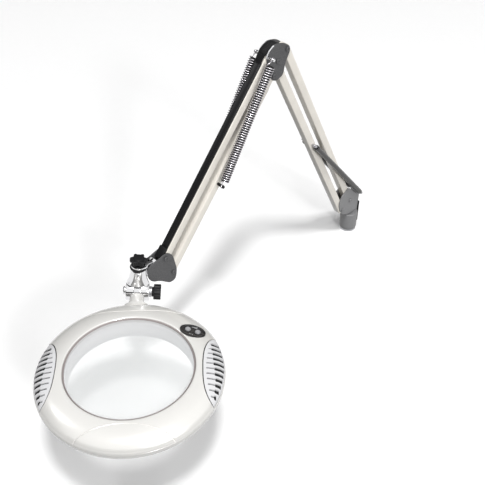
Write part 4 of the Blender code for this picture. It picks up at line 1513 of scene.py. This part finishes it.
    def slot_outline(self, side: int, y: float) -> Outline:
        """One louvre: a thin line near the lens that opens into a wide slot near the rim.

        Args:
            side: 1 for the +X side of the head and -1 for the other.
            y: the louvre's place along Y.

        Returns:
            The outline.
        """
        reach = abs(y - self.vent_y)
        inner = 111.5 + 0.0028 * reach ** 2
        outer = math.sqrt(137.6 ** 2 - (abs(y) + 2.0) ** 2)
        middle = min(inner + 12.0, 0.45 * inner + 0.55 * outer) - max(0.0, 0.16 * (y - self.vent_y))
        middle = max(middle, inner + 1.0)
        thin, wide = 1.35, 3.3
        shape = [(inner, -thin), (middle, -thin), (middle + 0.6, -wide), (outer, -wide)]
        shape += [(outer, wide), (middle + 0.6, wide), (middle, thin), (inner, thin)]
        return [(side * x, y + v) for x, v in shape]

    def vent(self, side: int, name: str) -> None:
        """Louvred grille that follows the shell just below its surface, with a black sheet behind it as painted
        shade inside the slots.

        Args:
            side: 1 for the +X side of the head and -1 for the other.
            name: CAD node that it stands for.
        """
        outer = self.surface(100.0, 138.6, 30, drop=0.7)
        inner = [(r - 1.5, max(0.2, h - 2.0)) for r, h in reversed(outer)]
        grille = spun(name + "_grille", outer + [(138.6, 0.0), (137.0, 0.0)] + inner, self.steps)
        combined(grille, self.vent_column(side, -0.6), "INTERSECT")
        for k in range(self.louvres):
            y = self.vent_y + (k - self.louvres // 2) * self.louvre_pitch
            outline = self.slot_outline(side, y)
            cut(grille, slab("slot", outline if side > 0 else list(reversed(outline)), -5.0, 30.0))
        fitted(grille, "head", VENT_SILVER, "vent_silver", name, place=HEAD_FRAME)
        # Black sheet under the louvres: painted shade inside the head, seen through the slots.
        shade_sheet_top = self.surface(103.0, 135.6, 12, drop=4.0)
        shade_sheet_low = [(r - 0.5, h - 0.8) for r, h in reversed(shade_sheet_top)]
        shade_sheet = spun(name + "_gauze", shade_sheet_top + [(135.6, -3.0), (134.8, -3.0)] + shade_sheet_low, 96)
        combined(shade_sheet, self.vent_column(side, 1.6), "INTERSECT")
        fitted(shade_sheet, "head", PAINTED_SHADE_BLACK, "pad_black", place=HEAD_FRAME)

    def optics(self) -> None:
        """Lens, gasket and liner."""
        edge = self.lens_radius
        radii = [edge * math.sin(math.radians(a)) for a in range(0, 91, 6)]
        top = [(r, 16.6 + 1.0 * (1 - (r / edge) ** 2)) for r in radii]
        low = [(r, 11.6 - 3.1 * (1 - (r / edge) ** 2)) for r in reversed(radii)]
        fitted(spun("lens_disc", top + low, 160), "head", LENS_GLASS, "lens_glass", "lens", place=HEAD_FRAME)
        seal = [(94.5, 10.9), (96.2, 10.9), (96.2, 18.0), (95.8, 18.4), (95.0, 18.2), (94.5, 17.6)]
        fitted(spun("lens_seal", seal, 160), "head", GASKET, "gasket_rubber", "lens_gasket", place=HEAD_FRAME)
        wall = [(94.6, -19.6), (96.3, -19.6), (96.3, 10.6), (92.6, 10.6), (92.6, 9.2), (94.6, 8.0)]
        wall += [(94.2, 7.0), (94.2, -18.8)]
        fitted(spun("light_liner", wall, 160), "head", PALE_LINER, "liner_pale", "inner_liner", place=HEAD_FRAME)

    def underside(self) -> None:
        """Frosted window, light board with its lamps, driver board and lower shell."""
        window = [(96.6, -19.6), (121.0, -19.6), (121.6, -19.0), (121.6, -17.4), (118.0, -17.4), (118.0, -17.6),
                  (96.6, -17.6)]
        fitted(spun("light_window", window, 160), "head", FROSTED, "diffuser_white", "diffuser", place=HEAD_FRAME)
        board = spun("light_board", [(100.0, -6.0), (126.0, -6.0), (126.0, -4.4), (100.0, -4.4)], 120)
        fitted(board, "head", BOARD_GREEN, "board_green", "led_board", place=HEAD_FRAME)
        self.lamps()
        repaint("driver_board", BOARD_GREEN)
        curve = [(122.0, -19.6), (122.6, -20.0), (126.0, -19.9), (129.0, -19.2), (132.0, -17.8), (134.6, -15.6),
                 (136.8, -12.6), (138.4, -9.2), (139.4, -5.4), (139.8, -1.6), (139.4, -1.2), (137.4, -1.2)]
        back = [(137.0, -5.0), (135.6, -8.6), (133.8, -11.8), (131.8, -14.0), (129.4, -15.8), (127.0, -17.2),
                (122.0, -17.2)]
        shell = spun("bottom_shell", curve + back, self.steps)
        along = Matrix.Translation((0.0, NECK_REACH, 0.0)) @ Matrix.Rotation(math.radians(90), 4, "X")
        cut(shell, shifted(rod("hole", 12.1, 20.0, 50.0, 48), along))
        fitted(shell, "head", PEARL_SHELL, "pearl_plastic", "lower_shell", place=HEAD_FRAME)
        for name in ("shell_screw_1", "shell_screw_2"):
            repaint(name, ZINC)

    def lamps(self) -> None:
        """Ring of small square lamps under the light board."""
        half = 1.6
        first = eased(slab("light_chips", [(-half, -half), (half, -half), (half, half), (-half, half)],
                           -7.6, -6.1), 0.3, 2)
        chips = []
        for k in range(self.chips):
            chip = first.copy()
            chip.data = first.data.copy()
            bpy.context.scene.collection.objects.link(chip)
            turn = Matrix.Rotation(math.tau * k / self.chips, 4, "Z")
            chips.append(shifted(chip, turn @ Matrix.Translation((self.chip_ring, 0.0, 0.0))))
        bpy.data.objects.remove(first, do_unlink=True)
        joined = gathered(chips)
        fitted(joined, "head", MARK_WHITE, "diffuser_white", place=HEAD_FRAME)

    def pad(self) -> None:
        """Black oval pad with two round keys, a fine light ring round each, and three marks."""
        place = self.pad_place()
        pad = sunk(slab("pad_plate", oval(20.5, 12.5, 96), -1.3, 1.0), (0, 0, 1), 1.4, 0.35)
        eased(pad, 0.25, 2, 30.0)
        for x in (-8.0, 8.0):
            cut(pad, shifted(rod("hole", 4.6, -4.0, 4.0, 36), Matrix.Translation((x, 0.0, 0.0))))
        fitted(pad, "head", BLACK_GLOSS, "pad_black", "control_pad", place=place)
        for x, name in ((-8.0, "power_key"), (8.0, "brightness_key")):
            dish = [(0.0, -0.6), (3.9, -0.6), (4.2, -0.3), (4.2, 1.7), (3.9, 2.1), (3.2, 2.2), (1.6, 2.0)]
            dish += [(0.0, 1.9)]
            cap = spun(name + "_cap", dish, 48)
            shifted(cap, Matrix.Translation((x, 0.0, 0.0)))
            fitted(cap, name, KEY_GREY, "key_grey", name, place=place)
            halo = spun(name + "_ring", [(1.5, 1.95), (2.0, 1.95), (2.0, 2.15), (1.5, 2.15)], 40)
            shifted(halo, Matrix.Translation((x, 0.0, 0.0)))
            fitted(halo, name, MARK_WHITE, "diffuser_white", place=place)
        marks = []
        for k in range(5):
            height = 1.0 + 0.5 * k
            mark = [(-0.45, 0.0), (0.45, 0.0), (0.45, height), (-0.45, height)]
            marks.append(shifted(slab("mark", mark, 0.6, 0.85), Matrix.Translation((-3.6 + 1.8 * k, 6.3, 0.0))))
        for k in range(3):
            spot = rod("spot", 0.55, 0.6, 0.85, 16)
            marks.append(shifted(spot, Matrix.Translation((-2.4 + 2.4 * k, -8.0, 0.0))))
        fitted(gathered(marks), "head", MARK_WHITE, "diffuser_white", place=place)

    def build(self) -> None:
        """Makes the head's pieces."""
        self.upper_shell()
        self.neck()
        self.knuckle()
        self.vent(-1, "vent_left")
        self.vent(1, "vent_right")
        self.optics()
        self.underside()
        self.pad()


# ------------------------------------------------------------------ studio

@dataclass
class Studio:
    """Pale floor, soft lights and the camera.

    Attributes:
        eye: place of the camera, in millimetres.
        right: the camera's direction to the right.
        up: its direction upwards.
        lens: focal length for a 36 mm sensor.
        floor_half: half the width of the floor, in metres.
        target: the point that the lights look at, in metres.
        ahead: brightness that gloss sees in front, by the height of the direction.
        behind: the same for the back.
        ambient: brightness that matt surfaces get, by the height of the direction.
        facing: direction of the front, level.
        sides: share of the ambient light, by how far a direction looks to the front.
        lamps: name, place in metres, width and watts of each light.
    """

    eye: tuple[float, float, float] = (806.9, -1052.1, 1071.1)
    right: tuple[float, float, float] = (0.6809, 0.7324, 0.0)
    up: tuple[float, float, float] = (-0.4757, 0.4423, 0.7603)
    lens: float = 59.38
    floor_half: float = 9.0
    target: tuple[float, float, float] = (0.0, -0.35, 0.2)
    ahead: tuple[tuple[float, float], ...] = (
        (-1.0, 0.95), (-0.17, 0.95), (-0.12, 0.03), (0.40, 0.03), (0.50, 1.0))
    behind: tuple[tuple[float, float], ...] = (
        (-1.0, 0.95), (-0.17, 0.95), (-0.12, 0.03), (0.62, 0.10), (0.76, 1.0))
    ambient: tuple[tuple[float, float], ...] = ((-1.0, 0.12), (-0.05, 0.08), (0.1, 0.36), (1.0, 0.42))
    facing: tuple[float, float, float] = (0.90, -0.43, 0.0)
    sides: tuple[tuple[float, float], ...] = ((-1.0, 0.45), (-0.2, 0.55), (0.5, 1.0))
    lamps: tuple[tuple[str, tuple[float, float, float], float, float], ...] = (
        ("key", (2.10, -1.49, 8.00), 1.1, 375.0),
        ("left_shadow", (7.00, -2.60, 4.30), 0.9, 165.0),
        ("right_shadow", (-4.50, -3.00, 6.80), 0.9, 75.0),
        ("front", (8.40, -0.90, 4.80), 6.0, 330.0),
    )

    def camera(self) -> None:
        """Sets the camera that the scene is seen from."""
        data = bpy.data.cameras.new("camera")
        data.lens = self.lens
        data.sensor_width = 36.0
        camera = bpy.data.objects.new("camera", data)
        bpy.context.scene.collection.objects.link(camera)
        backwards = Vector(self.right).cross(Vector(self.up))
        camera.matrix_world = frame_at(Vector(self.eye) * MM, backwards, Vector(self.right))
        bpy.context.scene.camera = camera

    def floor(self) -> None:
        """Wide pale floor just under the base."""
        deselect()
        bpy.ops.mesh.primitive_plane_add(size=2 * self.floor_half, location=(0.0, 0.0, -0.0005))
        floor = bpy.context.object
        floor.name = "floor"
        floor.data.materials.append(FLOOR_WHITE.build())
        floor.visible_diffuse = False
        floor.visible_glossy = False

    def light(self, name: str, place: tuple[float, float, float], aim: tuple[float, float, float],
              size: float, power: float) -> None:
        """Adds a soft square light that looks at a point.

        Args:
            name: its name.
            place: where it hangs, in metres.
            aim: the point it looks at, in metres.
            size: width of its square.
            power: watts.
        """
        data = bpy.data.lights.new(name, "AREA")
        data.size = size
        data.energy = power
        lamp = bpy.data.objects.new(name, data)
        bpy.context.scene.collection.objects.link(lamp)
        lamp.location = place
        lamp.rotation_mode = "QUATERNION"
        lamp.rotation_quaternion = (Vector(aim) - Vector(place)).to_track_quat("-Z", "Y")

    def world(self) -> None:
        """Sets the surroundings: white to the camera, banded to gloss and soft to matt surfaces."""
        world = bpy.data.worlds.new("studio")
        world.use_nodes = True
        bpy.context.scene.world = world
        tree = world.node_tree
        place = tree.nodes.new("ShaderNodeTexCoord")
        split = tree.nodes.new("ShaderNodeSeparateXYZ")
        tree.links.new(place.outputs["Generated"], split.inputs["Vector"])
        front = self.maths(tree, "DOT_PRODUCT", place.outputs["Generated"], self.facing)
        nearer = self.ramp(tree, front, ((-0.15, 0.0), (0.15, 1.0)))
        seen = self.mixed(tree, nearer, self.ramp(tree, split.outputs["Z"], self.behind),
                          self.ramp(tree, split.outputs["Z"], self.ahead))
        side = self.ramp(tree, front, self.sides)
        turned = tree.nodes.new("ShaderNodeMath")
        turned.operation = "MULTIPLY"
        tree.links.new(self.ramp(tree, split.outputs["Z"], self.ambient), turned.inputs[0])
        tree.links.new(side, turned.inputs[1])
        path = tree.nodes.new("ShaderNodeLightPath")
        shaped = self.mixed(tree, path.outputs["Is Diffuse Ray"], seen, turned.outputs[0])
        white = tree.nodes.new("ShaderNodeRGB")
        white.outputs[0].default_value = (1.0, 1.0, 1.0, 1.0)
        light = self.mixed(tree, path.outputs["Is Camera Ray"], shaped, white.outputs[0])
        tree.links.new(light, tree.nodes["Background"].inputs["Color"])

    def maths(self, tree: bpy.types.NodeTree, operation: str, socket: bpy.types.NodeSocket,
              other: tuple[float, float, float]) -> bpy.types.NodeSocket:
        """A vector operation between a socket and a fixed vector.

        Args:
            tree: the world's nodes.
            operation: Blender's name for the operation.
            socket: the vector.
            other: the fixed vector.

        Returns:
            The result.
        """
        node = tree.nodes.new("ShaderNodeVectorMath")
        node.operation = operation
        tree.links.new(socket, node.inputs[0])
        node.inputs[1].default_value = other
        return node.outputs["Value"]

    def ramp(self, tree: bpy.types.NodeTree, socket: bpy.types.NodeSocket,
             stops: tuple[tuple[float, float], ...]) -> bpy.types.NodeSocket:
        """A grey ramp over a value from -1 to 1.

        Args:
            tree: the world's nodes.
            socket: the value.
            stops: pairs of value and brightness.

        Returns:
            The ramp's colour.
        """
        scaled = tree.nodes.new("ShaderNodeMapRange")
        scaled.inputs["From Min"].default_value = -1.0
        tree.links.new(socket, scaled.inputs["Value"])
        ramp = tree.nodes.new("ShaderNodeValToRGB")
        while len(ramp.color_ramp.elements) < len(stops):
            ramp.color_ramp.elements.new(0.5)
        for element, (value, brightness) in zip(ramp.color_ramp.elements, stops):
            element.position = (value + 1.0) / 2.0
            element.color = (brightness, brightness, brightness, 1.0)
        tree.links.new(scaled.outputs["Result"], ramp.inputs["Fac"])
        return ramp.outputs["Color"]

    def mixed(self, tree: bpy.types.NodeTree, share: bpy.types.NodeSocket, first: bpy.types.NodeSocket,
              second: bpy.types.NodeSocket) -> bpy.types.NodeSocket:
        """Mixes two colours.

        Args:
            tree: the world's nodes.
            share: 0 for the first colour and 1 for the second.
            first: first colour.
            second: second colour.

        Returns:
            The mixed colour.
        """
        node = tree.nodes.new("ShaderNodeMixRGB")
        tree.links.new(share, node.inputs["Fac"])
        tree.links.new(first, node.inputs["Color1"])
        tree.links.new(second, node.inputs["Color2"])
        return node.outputs["Color"]

    def build(self) -> None:
        """Makes the floor, the lights and the camera."""
        self.camera()
        self.floor()
        self.world()
        bpy.context.scene.view_settings.view_transform = "Standard"
        for name, place, size, power in self.lamps:
            self.light(name, place, self.target, size, power)


def main() -> None:
    """Builds the lamp's sub-assemblies round the frame, in order."""
    logging.basicConfig(level=logging.INFO, format="%(name)s: %(message)s")
    Studio().build()
    for part in (Base(), LowerArm(), Elbow(), UpperArm(), Wrist(), HeadJoint(), Head()):
        log.info("building %s", type(part).__name__)
        part.build()


if __name__ == "__main__":
    main()
